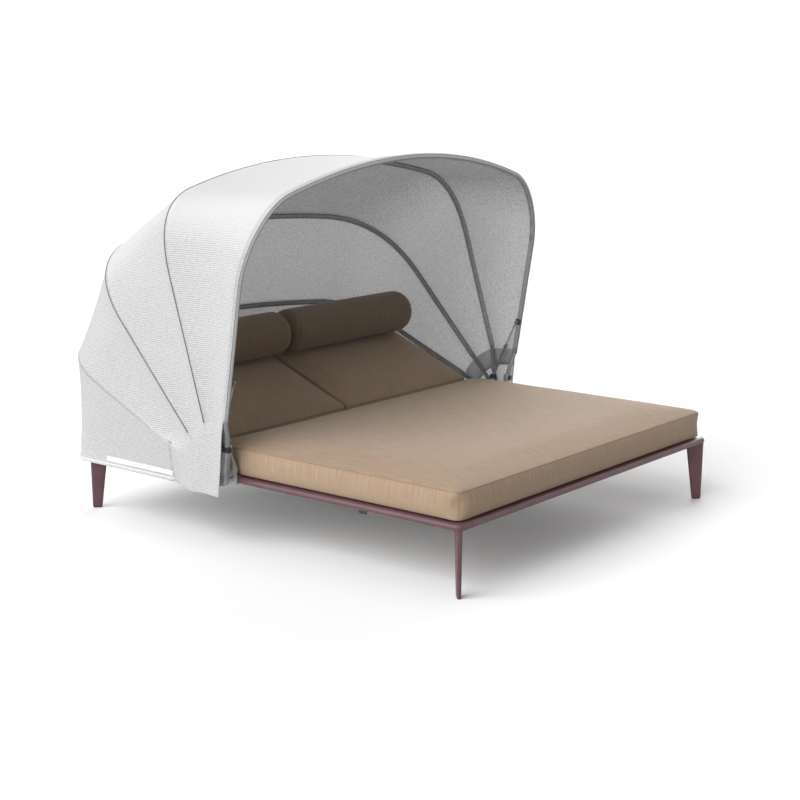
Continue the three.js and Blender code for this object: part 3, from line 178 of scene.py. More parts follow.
def choose(piece, kind, test):
    """In edit mode, selects the faces or edges whose middle and direction pass the test."""
    alone(piece)
    bpy.ops.object.mode_set(mode="EDIT")
    bpy.ops.mesh.select_mode(type=kind)
    bpy.ops.mesh.select_all(action="DESELECT")
    bpy.ops.object.mode_set(mode="OBJECT")
    mesh = piece.data
    if kind == "FACE":
        for face in mesh.polygons:
            face.select = bool(test(face.center, face.normal))
    else:
        for edge in mesh.edges:
            a, b = (mesh.vertices[i].co for i in edge.vertices)
            edge.select = bool(test((a + b) / 2, (b - a).normalized()))
    bpy.ops.object.mode_set(mode="EDIT")


def leave(piece, smooth=35):
    """Back to object mode, with soft shading up to an angle."""
    bpy.ops.object.mode_set(mode="OBJECT")
    alone(piece)
    bpy.ops.object.shade_smooth_by_angle(angle=math.radians(smooth))


def add_modifier(piece, kind, **settings):
    """Adds a modifier with its settings and applies it."""
    alone(piece)
    modifier = piece.modifiers.new(kind.lower(), kind)
    for name, value in settings.items():
        setattr(modifier, name, value)
    bpy.ops.object.modifier_apply(modifier=modifier.name)


def surface(name, **sockets):
    """A material, its node tree and its shader, with the shader's own sockets set."""
    made = bpy.data.materials.new(name)
    made.use_nodes = True
    shader = made.node_tree.nodes["Principled BSDF"]
    for socket, value in sockets.items():
        shader.inputs[socket.replace("_", " ")].default_value = value
    return made, made.node_tree, shader


def noise(tree, size, detail, place, **settings):
    """Noise with grains of this size, in metres."""
    return node(tree, "ShaderNodeTexNoise", {"Scale": 1 / size, "Detail": detail, **settings}, {
        "Vector": place,
    }).outputs["Fac"]


def scaled(tree, place, scale):
    """A place with its axes scaled."""
    return node(tree, "ShaderNodeMapping", {"Scale": scale}, {"Vector": place}).outputs["Vector"]


def object_place(tree):
    """The place on the object, in metres."""
    return node(tree, "ShaderNodeTexCoord").outputs["Object"]


def ramp(tree, factor, *stops):
    """A colour between two stops, each a position and a hex colour."""
    added = node(tree, "ShaderNodeValToRGB", {}, {"Fac": factor})
    for element, (position, colour) in zip(added.color_ramp.elements, stops):
        element.position = position
        element.color = linear(colour)
    return added.outputs["Color"]


def mix(tree, share, first, second, blend="MIX"):
    """Two colours mixed by a share, each a hex colour or another node's output."""
    settings = {"data_type": "RGBA", "blend_type": blend}
    links = {0: share}
    for socket, colour in ((6, first), (7, second)):
        if isinstance(colour, str):
            settings[socket] = linear(colour)
        else:
            links[socket] = colour
    return node(tree, "ShaderNodeMix", settings, links).outputs[2]


def reckon(tree, operation, *values):
    """A sum over values, each a number or another node's output."""
    settings, links = {"operation": operation}, {}
    for i, value in enumerate(values):
        (settings if isinstance(value, float) else links)[i] = value
    return node(tree, "ShaderNodeMath", settings, links).outputs[0]


def roughen(tree, shader, height, strength, distance):
    """Raises the surface by a height, over a distance in metres."""
    bump = node(tree, "ShaderNodeBump", {"Strength": strength, "Distance": distance}, {
        "Height": height,
    })
    tree.links.new(bump.outputs["Normal"], shader.inputs["Normal"])


def coat_all(material, *names):
    """Puts a material on CAD nodes, in place of the one they came with."""
    for name in names:
        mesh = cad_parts[name].data
        mesh.materials.clear()
        mesh.materials.append(material)


# Polyester powder coat baked on aluminium: satin, finely pebbled every 0.8 mm (drawn 2.5 mm so
# that it shows), and slightly cloudy over a hand's width.
powder, powder_tree, powder_shader = surface("burgundy powder coat", Roughness=0.46)
powder_place = object_place(powder_tree)
powder_colour = ramp(
    powder_tree, noise(powder_tree, 0.09, 3.0, powder_place), (0.35, "#583b41"), (0.65, "#644349"),
)
powder_tree.links.new(powder_colour, powder_shader.inputs["Base Color"])
roughen(powder_tree, powder_shader, noise(powder_tree, 0.0025, 2.0, powder_place), 0.25, 0.0002)

rail_nose = 0.0134
rail_ledge = 0.018
ledge_levels = (0.274, 0.280)
rail_outward = {
    "side_rail_left": Vector((-1, 0, 0)),
    "side_rail_right": Vector((1, 0, 0)),
    "foot_rail": Vector((0, -1, 0)),
    "head_rail": Vector((0, 1, 0)),
}


def rail(name, outward):
    """One rail: a bar with its outer edges rolled over, and a ledge drawn out of its inner face."""
    low, high = (Vector(corner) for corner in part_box(name))
    low += Vector([rail_ledge * max(way, 0) for way in outward])
    high -= Vector([rail_ledge * max(-way, 0) for way in outward])
    piece = block(f"{name}_coated", low, high)
    middle = (low + high) / 2
    outer = max((high - middle).dot(outward), (low - middle).dot(outward))

    def outer_edge(place, way):
        across = abs(way.dot(outward)) < 0.1 and abs(way.z) < 0.1
        return across and (place - middle).dot(outward) > outer - 1e-4

    choose(piece, "EDGE", outer_edge)
    bpy.ops.mesh.bevel(offset=rail_nose, segments=8, profile=0.5)
    for level in ledge_levels:
        bpy.ops.mesh.select_all(action="SELECT")
        bpy.ops.mesh.bisect(plane_co=(0, 0, level), plane_no=(0, 0, 1))
    choose(piece, "FACE", lambda place, facing: (
        facing.dot(outward) < -0.9 and ledge_levels[0] < place.z < ledge_levels[1]
    ))
    bpy.ops.mesh.extrude_region_move(
        TRANSFORM_OT_translate={"value": -outward * rail_ledge},
    )
    leave(piece)
    piece.data.materials.append(powder)
    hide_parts(name)
    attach(piece, "frame")


for rail_name, rail_way in rail_outward.items():
    rail(rail_name, rail_way)


# Corner castings with their legs: cast aluminium, the rail's rolled edge carried round the
# corner, and a tapered blade on the diagonal that flares into it; powder coated with the rails.
corner_radius = 0.036
corner_open = 0.026
blade_root = (0.0795, 0.030)
blade_top = (0.0775, 0.022)
blade_foot = (0.043, 0.017)
blade_lean = 0.004
blade_set_in = 0.003
blade_tip = 0.277
blade_flare = (0.262, 0.250)
blade_rounding = 0.0075
casting_bottom = 0.265
cut_levels = (0.2, 0.4)
cut_beyond = 0.1
leg_low, leg_high = (Vector(corner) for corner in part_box("corner_leg_foot_left"))
corner_low = Vector((leg_low.x, leg_low.y, casting_bottom))
corner_size = leg_high.x - leg_low.x
casting = block("corner_casting", corner_low, leg_high)
choose(casting, "EDGE", lambda place, way: (
    abs(way.z) > 0.9 and place.x < corner_low.x + 1e-4 and place.y < corner_low.y + 1e-4
))
bpy.ops.mesh.bevel(offset=corner_radius, segments=16, profile=0.5)


def corner_edge(place, way):
    """The casting's outer edges that carry on the rails' rolled edge."""
    near = min(place.x - corner_low.x, place.y - corner_low.y) < corner_radius * 0.35
    return near and abs(way.z) < 0.1 and place.x < leg_high.x - 1e-3 and place.y < leg_high.y - 1e-3


choose(casting, "EDGE", corner_edge)
bpy.ops.mesh.bevel(offset=rail_nose, segments=8, profile=0.5, clamp_overlap=False)
leave(casting)
inner_cut = block(
    "inner_cut",
    (leg_high.x - corner_open, leg_high.y - corner_open, cut_levels[0]),
    (leg_high.x + cut_beyond, leg_high.y + cut_beyond, cut_levels[1]),
)
add_modifier(casting, "BOOLEAN", operation="DIFFERENCE", object=inner_cut, solver="EXACT")
bpy.data.objects.remove(inner_cut)

blade_outer = math.hypot(corner_size - corner_radius, corner_size - corner_radius)
blade_outer += corner_radius - blade_set_in
blade_bottom = 0.0043
blade = block(
    "corner_blade",
    (blade_outer - blade_root[0], -blade_root[1] / 2, blade_bottom),
    (blade_outer, blade_root[1] / 2, blade_tip),
)
for level in blade_flare:
    choose(blade, "FACE", lambda place, facing: True)
    bpy.ops.mesh.bisect(plane_co=(0, 0, level), plane_no=(0, 0, 1))
    bpy.ops.object.mode_set(mode="OBJECT")


def size_level(low, high, width, thickness, outer):
    """Sets the blade's width, thickness and outer edge between two heights."""
    for vertex in blade.data.vertices:
        if low < vertex.co.z < high:
            outward = vertex.co.x > blade_outer - blade_root[0] / 2
            vertex.co.x = outer - (0 if outward else width)
            vertex.co.y = math.copysign(thickness / 2, vertex.co.y)


size_level(0.0, 0.01, *blade_foot, blade_outer - blade_lean)
size_level(0.249, 0.251, *blade_top, blade_outer - 0.0008)
size_level(0.261, 0.263, blade_top[0] + 0.001, 0.0232, blade_outer - 0.0003)
choose(blade, "EDGE", lambda place, way: abs(way.z) > 0.7)
bpy.ops.mesh.bevel(offset=blade_rounding, segments=6, profile=0.5)
choose(blade, "EDGE", lambda place, way: place.z < blade_bottom + 1e-4)
bpy.ops.mesh.bevel(offset=0.001, segments=2, profile=0.5)
leave(blade)
blade.data.transform(Matrix.Translation((
    leg_low.x + corner_size, leg_low.y + corner_size, 0,
)) @ Matrix.Rotation(math.radians(-135), 4, "Z"))
add_modifier(casting, "BOOLEAN", operation="UNION", object=blade, solver="EXACT")
bpy.data.objects.remove(blade)
leave(casting, 40)
casting.data.materials.append(powder)

for end, end_way in (("foot", 1), ("head", -1)):
    for side, side_way in (("left", 1), ("right", -1)):
        leg = casting.copy()
        leg.data = casting.data.copy()
        leg.name = f"corner_{end}_{side}_coated"
        bpy.context.collection.objects.link(leg)
        middle_y = (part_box("corner_leg_foot_left")[0][1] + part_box("corner_leg_head_left")[1][1]) / 2
        leg.data.transform(
            Matrix.Translation((0, middle_y, 0))
            @ Matrix.Diagonal((side_way, end_way, 1, 1))
            @ Matrix.Translation((0, -middle_y, 0))
        )
        if side_way * end_way < 0:
            leg.data.flip_normals()
        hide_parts(f"corner_leg_{end}_{side}")
        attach(leg, "frame")
bpy.data.objects.remove(casting)


# Under the frame: box-tube bearers across, a flat bearer down the middle and a slatted deck,
# all plain extruded aluminium, with plastic glides under the legs.
def streaked(name, dark, light, roughness, metallic):
    """Drawn aluminium: die lines about 2 mm apart along the bed, and clouds of dull oxide."""
    made, tree, shader = surface(name, Metallic=metallic)
    place = object_place(tree)
    cloud = noise(tree, 0.05, 4.0, place)
    tree.links.new(ramp(tree, cloud, (0.3, dark), (0.7, light)), shader.inputs["Base Color"])
    gloss = ranged(tree, cloud, 0.0, 1.0, roughness - 0.08, roughness + 0.08)
    tree.links.new(gloss, shader.inputs["Roughness"])
    lines = noise(tree, 0.002, 2.0, scaled(tree, place, (1, 0.05, 1)))
    roughen(tree, shader, lines, 0.3, 0.0002)
    return made


# Mill-finish aluminium: grey and half matt from its oxide.
mill_aluminium = streaked("mill finish aluminium", "#8e8f90", "#a6a7a8", 0.48, 0.85)
coat_all(
    mill_aluminium,
    "foot_cross_bearer", "hinge_cross_bearer", "rack_cross_bearer", "head_cross_bearer",
    "centre_bearer", "seat_slat_deck", "backrest_frame_left", "backrest_frame_right",
)

# Moulded polyamide: black, with a fine spark-eroded grain of 0.5 mm (drawn 1.5 mm).
def moulded(name, dark, light, roughness):
    """A moulded plastic with a fine grain."""
    made, tree, shader = surface(name, Roughness=roughness)
    grain = noise(tree, 0.0015, 2.0, object_place(tree))
    tree.links.new(mix(tree, grain, dark, light), shader.inputs["Base Color"])
    roughen(tree, shader, grain, 0.3, 0.0001)
    return made


glide_plastic = moulded("black polyamide", "#1f1f21", "#303032", 0.6)
coat_all(
    glide_plastic,
    "glide_foot_left", "glide_foot_right", "glide_head_left", "glide_head_right",
)


# Seat mattress: quick-dry foam in a box cover of woven outdoor fabric, its top panel crowned,
# with a folded seam round the top edge and a seam down each corner. It lies on the slats.
def thread_band(spacing):
    """The scale at which a band texture repeats at this spacing, in metres."""
    return math.pi / 10 / spacing


# Solution-dyed woven acrylic: a plain weave of 1 mm threads (drawn 3 mm so that it shows), with
# slubs that run along the warp, slight melange and the soft sheen of fibre ends.
def woven(name, dark, light, warm):
    """A woven cloth: dark and light along its slubs, and warm in clouds."""
    made, tree, shader = surface(name, Roughness=0.92, Sheen_Weight=0.18, Sheen_Roughness=0.5)
    laid = node(tree, "ShaderNodeUVMap", {"uv_map": "cloth"}).outputs["UV"]
    warp, weft = (node(tree, "ShaderNodeTexWave", {
        "wave_type": "BANDS", "bands_direction": way, "Scale": thread_band(0.003),
        "Distortion": 0.6, "Detail": 1.0, "Detail Scale": 0.5,
    }, {"Vector": laid}).outputs["Fac"] for way in "XY")
    weave = reckon(tree, "MULTIPLY", warp, weft)
    slub = noise(tree, 1.0, 3.0, scaled(tree, laid, (1 / 0.006, 1 / 0.09, 1)), Roughness=0.6)
    cloud = noise(tree, 0.16, 2.0, object_place(tree))
    streak = mix(tree, ranged(tree, slub, 0.3, 0.7, 0.0, 1.0), dark, light)
    tinted = mix(tree, ranged(tree, cloud, 0.4, 0.75, 0.0, 0.5), streak, warm)
    gaps = reckon(tree, "SUBTRACT", 0.35, reckon(tree, "MULTIPLY", weave, 0.35))
    shaded = mix(tree, gaps, tinted, tinted, "MULTIPLY")
    tree.links.new(shaded, shader.inputs["Base Color"])
    height = reckon(tree, "MULTIPLY_ADD", slub, 0.6, weave)
    roughen(tree, shader, height, 0.5, 0.0006)
    return made


cushion_cloth = woven("taupe woven acrylic", "#a08a72", "#b6a088", "#b0957e")
# Bolsters: the cushions' acrylic painted darker as shade under the canopy.
bolster_painted_shade_cloth = woven("taupe acrylic darkened as bolster shade", "#7a6754", "#8a7763", "#85715d")
# Seam folds: the same acrylic painted darker as shade in the folds.
seam_painted_shade_cloth = woven("taupe seam fold darkened as shade", "#8c7862", "#a18b75", "#95806b")


def ease(share, power=4.5):
    """0 at an edge and 1 from the middle on, rising steeply at first."""
    return 1 - (1 - min(max(share, 0), 1)) ** power


def plump(piece, voxel, cap, seam, crown, draw, rest, held):
    """Foam in its cover: remeshed, its top crowned and its sides drawn in between the seams,
    then swollen as cloth with each point's move capped, and flat where it rests."""
    low, high = (Vector(corner) for corner in (piece.bound_box[0], piece.bound_box[6]))
    middle = (low + high) / 2
    half = (high - low) / 2
    reach = min(half.x, half.y)
    add_modifier(piece, "REMESH", mode="VOXEL", voxel_size=voxel)
    mesh = piece.data
    for vertex in mesh.vertices:
        place = vertex.co
        edge_x = ease((half.x - abs(place.x - middle.x)) / reach)
        edge_y = ease((half.y - abs(place.y - middle.y)) / reach)
        height = (place.z - low.z) / (seam - low.z)
        if height > 0.98:
            place.z += crown * edge_x * edge_y
        waist = draw * max(0.0, math.sin(math.pi * min(max(height, 0), 1)))
        place.x -= math.copysign(waist, place.x - middle.x) * (1 - edge_x) ** 4
        place.y -= math.copysign(waist, place.y - middle.y) * (1 - edge_y) ** 4
    start = [vertex.co.copy() for vertex in mesh.vertices]
    fixed = piece.vertex_groups.new(name="seams")
    fixed.add([i for i, place in enumerate(start) if held(place)], 1.0, "REPLACE")
    alone(piece)
    cover = piece.modifiers.new("cover", "CLOTH")
    cover.settings.use_pressure = True
    cover.settings.uniform_pressure_force = 4.0
    cover.settings.vertex_group_mass = "seams"
    cover.settings.effector_weights.gravity = 0.0
    for step in range(1, 21):
        bpy.context.scene.frame_set(step)
    bpy.ops.object.modifier_apply(modifier="cover")
    bpy.context.scene.frame_set(1)
    mesh = piece.data
    moves = [v.co - place for v, place in zip(mesh.vertices, start)]
    for vertex, place, move in zip(mesh.vertices, start, moves):
        if move.length > cap:
            vertex.co = place + move.normalized() * cap
    piece.vertex_groups.clear()
    add_modifier(piece, "SMOOTH", factor=0.5, iterations=2)
    add_modifier(piece, "SUBSURF", levels=1, render_levels=1)
    for vertex in piece.data.vertices:
        vertex.co.z = max(vertex.co.z, rest)


def lay_cloth(piece):
    """Cloth coordinates in metres on each side of a cushion, as its panels are cut."""
    choose(piece, "FACE", lambda place, facing: True)
    bpy.ops.uv.cube_project(cube_size=1.0)
    piece.data.uv_layers.active.name = "cloth"
    bpy.ops.object.mode_set(mode="OBJECT")
    for face in piece.data.polygons:
        face.use_smooth = True


def cord(name, path, radius, resolution, closed):
    """A thin round cord along a path, as a mesh."""
    line = bpy.data.curves.new(name, "CURVE")
    line.dimensions = "3D"
    line.bevel_depth = radius
    line.bevel_resolution = resolution
    stretch = line.splines.new("POLY")
    stretch.points.add(len(path) - 1)
    stretch.use_cyclic_u = closed
    for point, place in zip(stretch.points, path):
        point.co = (*place, 1.0)
    made = bpy.data.objects.new(name, line)
    bpy.context.collection.objects.link(made)
    alone(made)
    bpy.ops.object.convert(target="MESH")
    return made


def seam_fold(name, cushion, path, thickness, closed=True):
    """A folded seam: a thin cord of cover fabric, darkened as painted shade in the fold,
    laid on the cushion along a path.
    """
    laid = []
    for place in path:
        _, on_cover, facing, _ = cushion.closest_point_on_mesh(place)
        laid.append(on_cover + facing * thickness * 0.1)
    fold = cord(name, laid, thickness / 2, 2, closed)
    lay_cloth(fold)
    fold.data.materials.append(seam_painted_shade_cloth)
    return fold


def rounded_path(low, high, radius, height, step=0.012):
    """Points round a rectangle with rounded corners, at one height."""
    points = []
    corners = (
        ((high.x - radius, high.y - radius), 0), ((low.x + radius, high.y - radius), 90),
        ((low.x + radius, low.y + radius), 180), ((high.x - radius, low.y + radius), 270),
    )
    for (x, y), turn in corners:
        for part in range(7):
            angle = math.radians(turn + part * 15)
            points.append(Vector((
                x + radius * math.cos(angle), y + radius * math.sin(angle), height,
            )))
    path = []
    for a, b in zip(points, points[1:] + points[:1]):
        pieces = max(1, round((b - a).length / step))
        path.extend(a.lerp(b, part / pieces) for part in range(pieces))
    return path


mattress_low, mattress_high = (Vector(corner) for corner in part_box("seat_mattress"))
mattress_seam = 0.4173
mattress_rounding = 0.034
mattress_swell = 0.004
mattress_sunk = 0.011
mattress = block(
    "mattress_cover",
    mattress_low + Vector((mattress_swell, mattress_swell, -mattress_sunk)),
    Vector((mattress_high.x - mattress_swell, mattress_high.y - mattress_swell, mattress_seam)),
)
choose(mattress, "EDGE", lambda place, way: abs(way.z) > 0.9)
bpy.ops.mesh.bevel(offset=mattress_rounding, segments=8, profile=0.5)
choose(mattress, "EDGE", lambda place, way: place.z < mattress_low.z)
bpy.ops.mesh.bevel(offset=0.010, segments=4, profile=0.5)
bpy.ops.object.mode_set(mode="OBJECT")


def mattress_held(place):
    """The cover's points that its top seam or the slats hold."""
    out_x = min(place.x - mattress_low.x, mattress_high.x - place.x) < 0.012
    out_y = min(place.y - mattress_low.y, mattress_high.y - place.y) < 0.012
    on_seam = abs(place.z - mattress_seam) < 0.008 and (out_x or out_y)
    return on_seam or place.z < mattress_low.z - mattress_sunk + 0.003


plump(
    mattress, voxel=0.014, cap=0.012, seam=mattress_seam, crown=0.028, draw=0.004,
    rest=mattress_low.z + 0.0005, held=mattress_held,
)
lay_cloth(mattress)
mattress.data.materials.append(cushion_cloth)
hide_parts("seat_mattress")
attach(mattress, "frame")
mattress_fold = seam_fold("mattress_top_seam", mattress, rounded_path(
    mattress_low, mattress_high, mattress_rounding, mattress_seam,
), 0.003)
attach(mattress_fold, "frame")
for corner_x, corner_y in ((0, 0), (0, 1), (1, 0), (1, 1)):
    corner = Vector((
        (mattress_low.x + 0.008, mattress_high.x - 0.008)[corner_x],
        (mattress_low.y + 0.008, mattress_high.y - 0.008)[corner_y],
        0,
    ))
    corner_rise = mattress_seam - mattress_low.z - 0.016
    corner_fold = seam_fold(f"mattress_corner_seam_{corner_x}{corner_y}", mattress, [
        corner + Vector((0, 0, mattress_low.z + 0.012 + k * corner_rise / 9)) for k in range(10)
    ], 0.0022, closed=False)
    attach(corner_fold, "frame")


# Backrest cushions, left and right: the same foam and cover as the mattress, thinner, tied to
# the slats of the backrest frames and bevelled at the lower end to clear the mattress.
hinge_middle = (Vector(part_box("hinge_rod_left")[0]) + Vector(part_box("hinge_rod_left")[1])) / 2
recline = math.radians(22)
back_rise = 0.0093
back_seam = 0.1073
back_front = 0.058
back_front_under = 0.018
back_length = 0.740
back_inner = 0.002
back_outer = 0.932


def recline_piece(piece):
    """Turns a piece made flat on the hinge axis up to the backrest's rest angle."""
    piece.data.transform(
        Matrix.Translation((0, hinge_middle.y, hinge_middle.z)) @ Matrix.Rotation(recline, 4, "X")
    )


def backrest_cushion(side, way):
    """One backrest cushion, made flat on the hinge axis and then reclined."""
    inner, outer = sorted((way * back_inner, way * back_outer))
    low = Vector((inner, back_front, back_rise))
    high = Vector((outer, back_length, back_seam))
    swell = Vector((0.003, 0.003, 0))
    cushion = block(f"backrest_{side}_cover", low + swell, high - swell)
    for vertex in cushion.data.vertices:
        if vertex.co.y < back_front + 0.01 and vertex.co.z < back_rise + 0.01:
            vertex.co.y = back_front_under
    choose(cushion, "EDGE", lambda place, along: (
        abs(along.x) < 0.1 and abs(along.z) > 0.3
    ))
    bpy.ops.mesh.bevel(offset=0.030, segments=8, profile=0.5)
    choose(cushion, "EDGE", lambda place, along: place.z < back_rise + 0.002)
    bpy.ops.mesh.bevel(offset=0.012, segments=4, profile=0.5)
    bpy.ops.object.mode_set(mode="OBJECT")

    def held(place):
        out_x = min(place.x - low.x, high.x - place.x) < 0.010
        out_y = min(place.y - low.y, high.y - place.y) < 0.010
        on_seam = abs(place.z - back_seam) < 0.007 and (out_x or out_y)
        return on_seam or place.z < back_rise + 0.003

    plump(
        cushion, voxel=0.011, cap=0.010, seam=back_seam, crown=0.014, draw=0.003,
        rest=back_rise, held=held,
    )
    add_modifier(cushion, "SMOOTH", factor=0.5, iterations=8)
    fold = seam_fold(f"backrest_{side}_top_seam", cushion, rounded_path(
        low, high, 0.030, back_seam,
    ), 0.003)
    for piece in (cushion, fold):
        recline_piece(piece)
        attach(piece, f"backrest_{side}")
    lay_cloth(cushion)
    cushion.data.materials.append(cushion_cloth)
    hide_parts(f"backrest_cushion_{side}")


# Bolsters: a roll of wadding in the same cover, strapped to each backrest near its head; the
# ends are gathered in, so that they bulge and pucker a little.
bolster_radius = 0.106
bolster_inner = 0.006
bolster_outer = 0.926
bolster_place = (0.568, 0.2321)


def bolster(side, way):
    """One roll: a cylinder whose end faces are drawn in, rounded over and slightly puckered."""
    inner, outer = sorted((way * bolster_inner, way * bolster_outer))
    bpy.ops.object.select_all(action="DESELECT")
    bpy.ops.mesh.primitive_cylinder_add(
        vertices=64, radius=bolster_radius - 0.002, depth=outer - inner,
        location=((inner + outer) / 2, *bolster_place), rotation=(0, math.pi / 2, 0),
    )
    roll = bpy.context.active_object
    roll.name = f"bolster_{side}_cover"
    bpy.ops.object.transform_apply(location=True, rotation=True, scale=True)
    for end, rounding in ((bolster_inner, 0.050), (bolster_outer, 0.074)):
        choose(roll, "EDGE", lambda place, along: (
            abs(along.x) < 0.1 and abs(place.x - way * end) < 0.001
        ))
        bpy.ops.mesh.bevel(offset=rounding, segments=12, profile=0.5, clamp_overlap=False)
    bpy.ops.object.mode_set(mode="OBJECT")
    add_modifier(roll, "REMESH", mode="VOXEL", voxel_size=0.010)
    for vertex in roll.data.vertices:
        off_y = vertex.co.y - bolster_place[0]
        off_z = vertex.co.z - bolster_place[1]
        from_end = min(vertex.co.x - inner, outer - vertex.co.x)
        turn = math.atan2(off_z, off_y)
        pucker = 0.0016 * math.exp(-((from_end - 0.03) / 0.03) ** 2) * math.sin(22 * turn)
        vertex.co.y += pucker * math.cos(turn)
        vertex.co.z += pucker * math.sin(turn)
    add_modifier(roll, "SMOOTH", factor=0.5, iterations=2)
    add_modifier(roll, "SUBSURF", levels=1, render_levels=1)
    recline_piece(roll)
    lay_cloth(roll)
    roll.data.materials.append(bolster_painted_shade_cloth)
    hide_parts(f"bolster_{side}")
    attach(roll, f"backrest_{side}")


for side_name, side_way in (("left", -1), ("right", 1)):
    backrest_cushion(side_name, side_way)
    bolster(side_name, side_way)


# Hinge rods, prop bails and hoops: drawn aluminium tube, bead blasted and clear anodised; the
# racks and the stays' outer tubes are the same tube, anodised dark grey.
satin_aluminium = streaked("clear anodised aluminium", "#a2a3a5", "#b4b5b7", 0.42, 0.55)
hoop_aluminium = streaked("grey lacquered aluminium", "#85878a", "#94969a", 0.55, 0.35)
coat_all(hoop_aluminium, "front_hoop", "second_hoop", "third_hoop", "rear_hoop")
coat_all(
    satin_aluminium,
    "hinge_rod_left", "hinge_rod_right", "prop_bail_left", "prop_bail_right",
    "front_hoop_knuckle_left", "front_hoop_knuckle_right",
    "hub_bracket_left", "hub_bracket_right", "stay_rod_left", "stay_rod_right",
)
dark_aluminium = streaked("grey anodised aluminium", "#74777a", "#8a8d90", 0.45, 0.5)
coat_all(
    dark_aluminium,
    "prop_rack_left", "prop_rack_right", "axle_cap_left", "axle_cap_right",
    "bracket_screw_left", "bracket_screw_right", "stay_tube_left", "stay_tube_right",
    "stay_button_left", "stay_button_right",
)
clamp_plastic = moulded("navy acetal", "#2b3955", "#38486a", 0.42)
coat_all(
    clamp_plastic,
    "stay_clamp_lower_left", "stay_clamp_lower_right", "stay_clamp_upper_left",
    "stay_clamp_upper_right",
)


# Canopy: an open-weave shade fabric of coated polyester yarn, sewn in three panels between the
# four hoops and pulled tight when the canopy opens; it sags a little between them.
hub_place = Vector((0, 0.0359384, 0.279))
# Each hoop: its lean in degrees, then in metres half its width at the hub and at the shoulder,
# the straight leg's end, the corner's width, the top and the crown's rise, and two shares that
# set how round the corner is.
hoop_shapes = {
    "front": (-9.3, 1.027, 1.029, 0.825, 0.236, 1.314, 0.122, 0.43, 0.54),
    "second": (16.84, 1.018, 1.018, 0.874, 0.221, 1.320, 0.099, 0.62, 0.65),
    "third": (42.3, 1.016, 1.014, 0.838, 0.421, 1.296, 0.038, 0.69, 0.53),
    "rear": (66.0, 1.026, 1.016, 0.793, 0.262, 1.200, 0.073, 0.60, 0.60),
}
hoop_bodies = {
    "front": "front_hoop", "second": "second_hoop", "third": "third_hoop", "rear": "frame",
}
fabric_offset = 0.0123
fabric_thickness = 0.002
fabric_reach = fabric_offset + fabric_thickness
fabric_start = 0.200
full_sag_from = 0.300
fabric_sag = 0.024
crown_sag = 0.020
crown_sag_from = 0.600
crown_sag_over = 0.650


def leg_place(name, radius):
    """How far out a hoop's straight leg is at a radius."""
    foot, shoulder, leg = hoop_shapes[name][1:4]
    return foot + (shoulder - foot) * radius / leg


def hoop_point(name, step, start):
    """A point (across, radius) of the right half of a hoop: steps 0 to 2 up the straight leg,
    2 to 8 round the corner and 8 to 12 over the shallow crown to the middle."""
    foot, shoulder, leg, corner, top, crown, low, high = hoop_shapes[name][1:]
    flat = top - crown
    over_start = Vector((shoulder - corner, flat))
    if step <= 2:
        radius = start + (leg - start) * step / 2
        return Vector((leg_place(name, radius), radius))
    if step >= 8:
        x = over_start.x * (12 - step) / 4
        return Vector((x, flat + crown * (1 - (x / over_start.x) ** 2)))
    t = (step - 2) / 6
    a = Vector((shoulder, leg))
    up = Vector((shoulder - foot, leg)).normalized()
    over = Vector((-1, 2 * crown / (shoulder - corner))).normalized()
    b = a + up * (flat - leg) * low
    c = over_start - over * corner * high
    return (
        a * (1 - t) ** 3 + b * 3 * t * (1 - t) ** 2 + c * 3 * t * t * (1 - t)
        + over_start * t ** 3
    )


def hoop_line(name, start, count, reach=0.0):
    """Evenly spaced points (across, radius) over a whole hoop, set outwards by reach."""
    half = [hoop_point(name, step / 12, start) for step in range(145)]
    points = half + [Vector((-p.x, p.y)) for p in reversed(half[:-1])]
    lengths = [0.0]
    for p, q in zip(points, points[1:]):
        lengths.append(lengths[-1] + (q - p).length)
    even = []
    i = 0
    for step in range(count):
        along = lengths[-1] * step / (count - 1)
        while i < len(points) - 2 and lengths[i + 1] < along:
            i += 1
        share = (along - lengths[i]) / (lengths[i + 1] - lengths[i])
        even.append(points[i].lerp(points[i + 1], share))
    line = []
    for i, point in enumerate(even):
        way = (even[min(i + 1, count - 1)] - even[max(i - 1, 0)]).normalized()
        line.append(point + Vector((way.y, -way.x)) * reach)
    return line


def on_plane(flat, lean):
    """A point (across, radius) of a plane that leans about the hub, in the row frame."""
    turn = math.radians(lean)
    return Vector((
        flat.x, hub_place.y + flat.y * math.sin(turn), hub_place.z + flat.y * math.cos(turn),
    ))


def mesh_piece(name, points, faces, laid):
    """A smooth mesh from its points, faces and cloth coordinates, one for each point."""
    mesh = bpy.data.meshes.new(name)
    mesh.from_pydata(points, [], faces)
    cloth = mesh.uv_layers.new(name="cloth")
    for loop in mesh.loops:
        cloth.data[loop.index].uv = laid[loop.vertex_index]
    steep = mesh.attributes.new("steep", "FLOAT", "POINT")
    for vertex in mesh.vertices:
        steep.data[vertex.index].value = 1 - abs(vertex.normal.z)
    for face in mesh.polygons:
        face.use_smooth = True
    piece = bpy.data.objects.new(name, mesh)
    bpy.context.collection.objects.link(piece)
    return piece


def grid_piece(name, rows, closed=False):
    """A sheet or a tube from rows of points; its cloth coordinates run level round the canopy
    and upright, because every panel is cut with its weave level."""
    columns = len(rows[0])
    points = [p for row in rows for p in row]
    last = columns if closed else columns - 1
    faces = []
    for r in range(len(rows) - 1):
        for c in range(last):
            d = (c + 1) % columns
            faces.append((r * columns + c, r * columns + d, (r + 1) * columns + d,
                          (r + 1) * columns + c))
    return mesh_piece(name, points, faces, [(p.y - abs(p.x), p.z) for p in points])
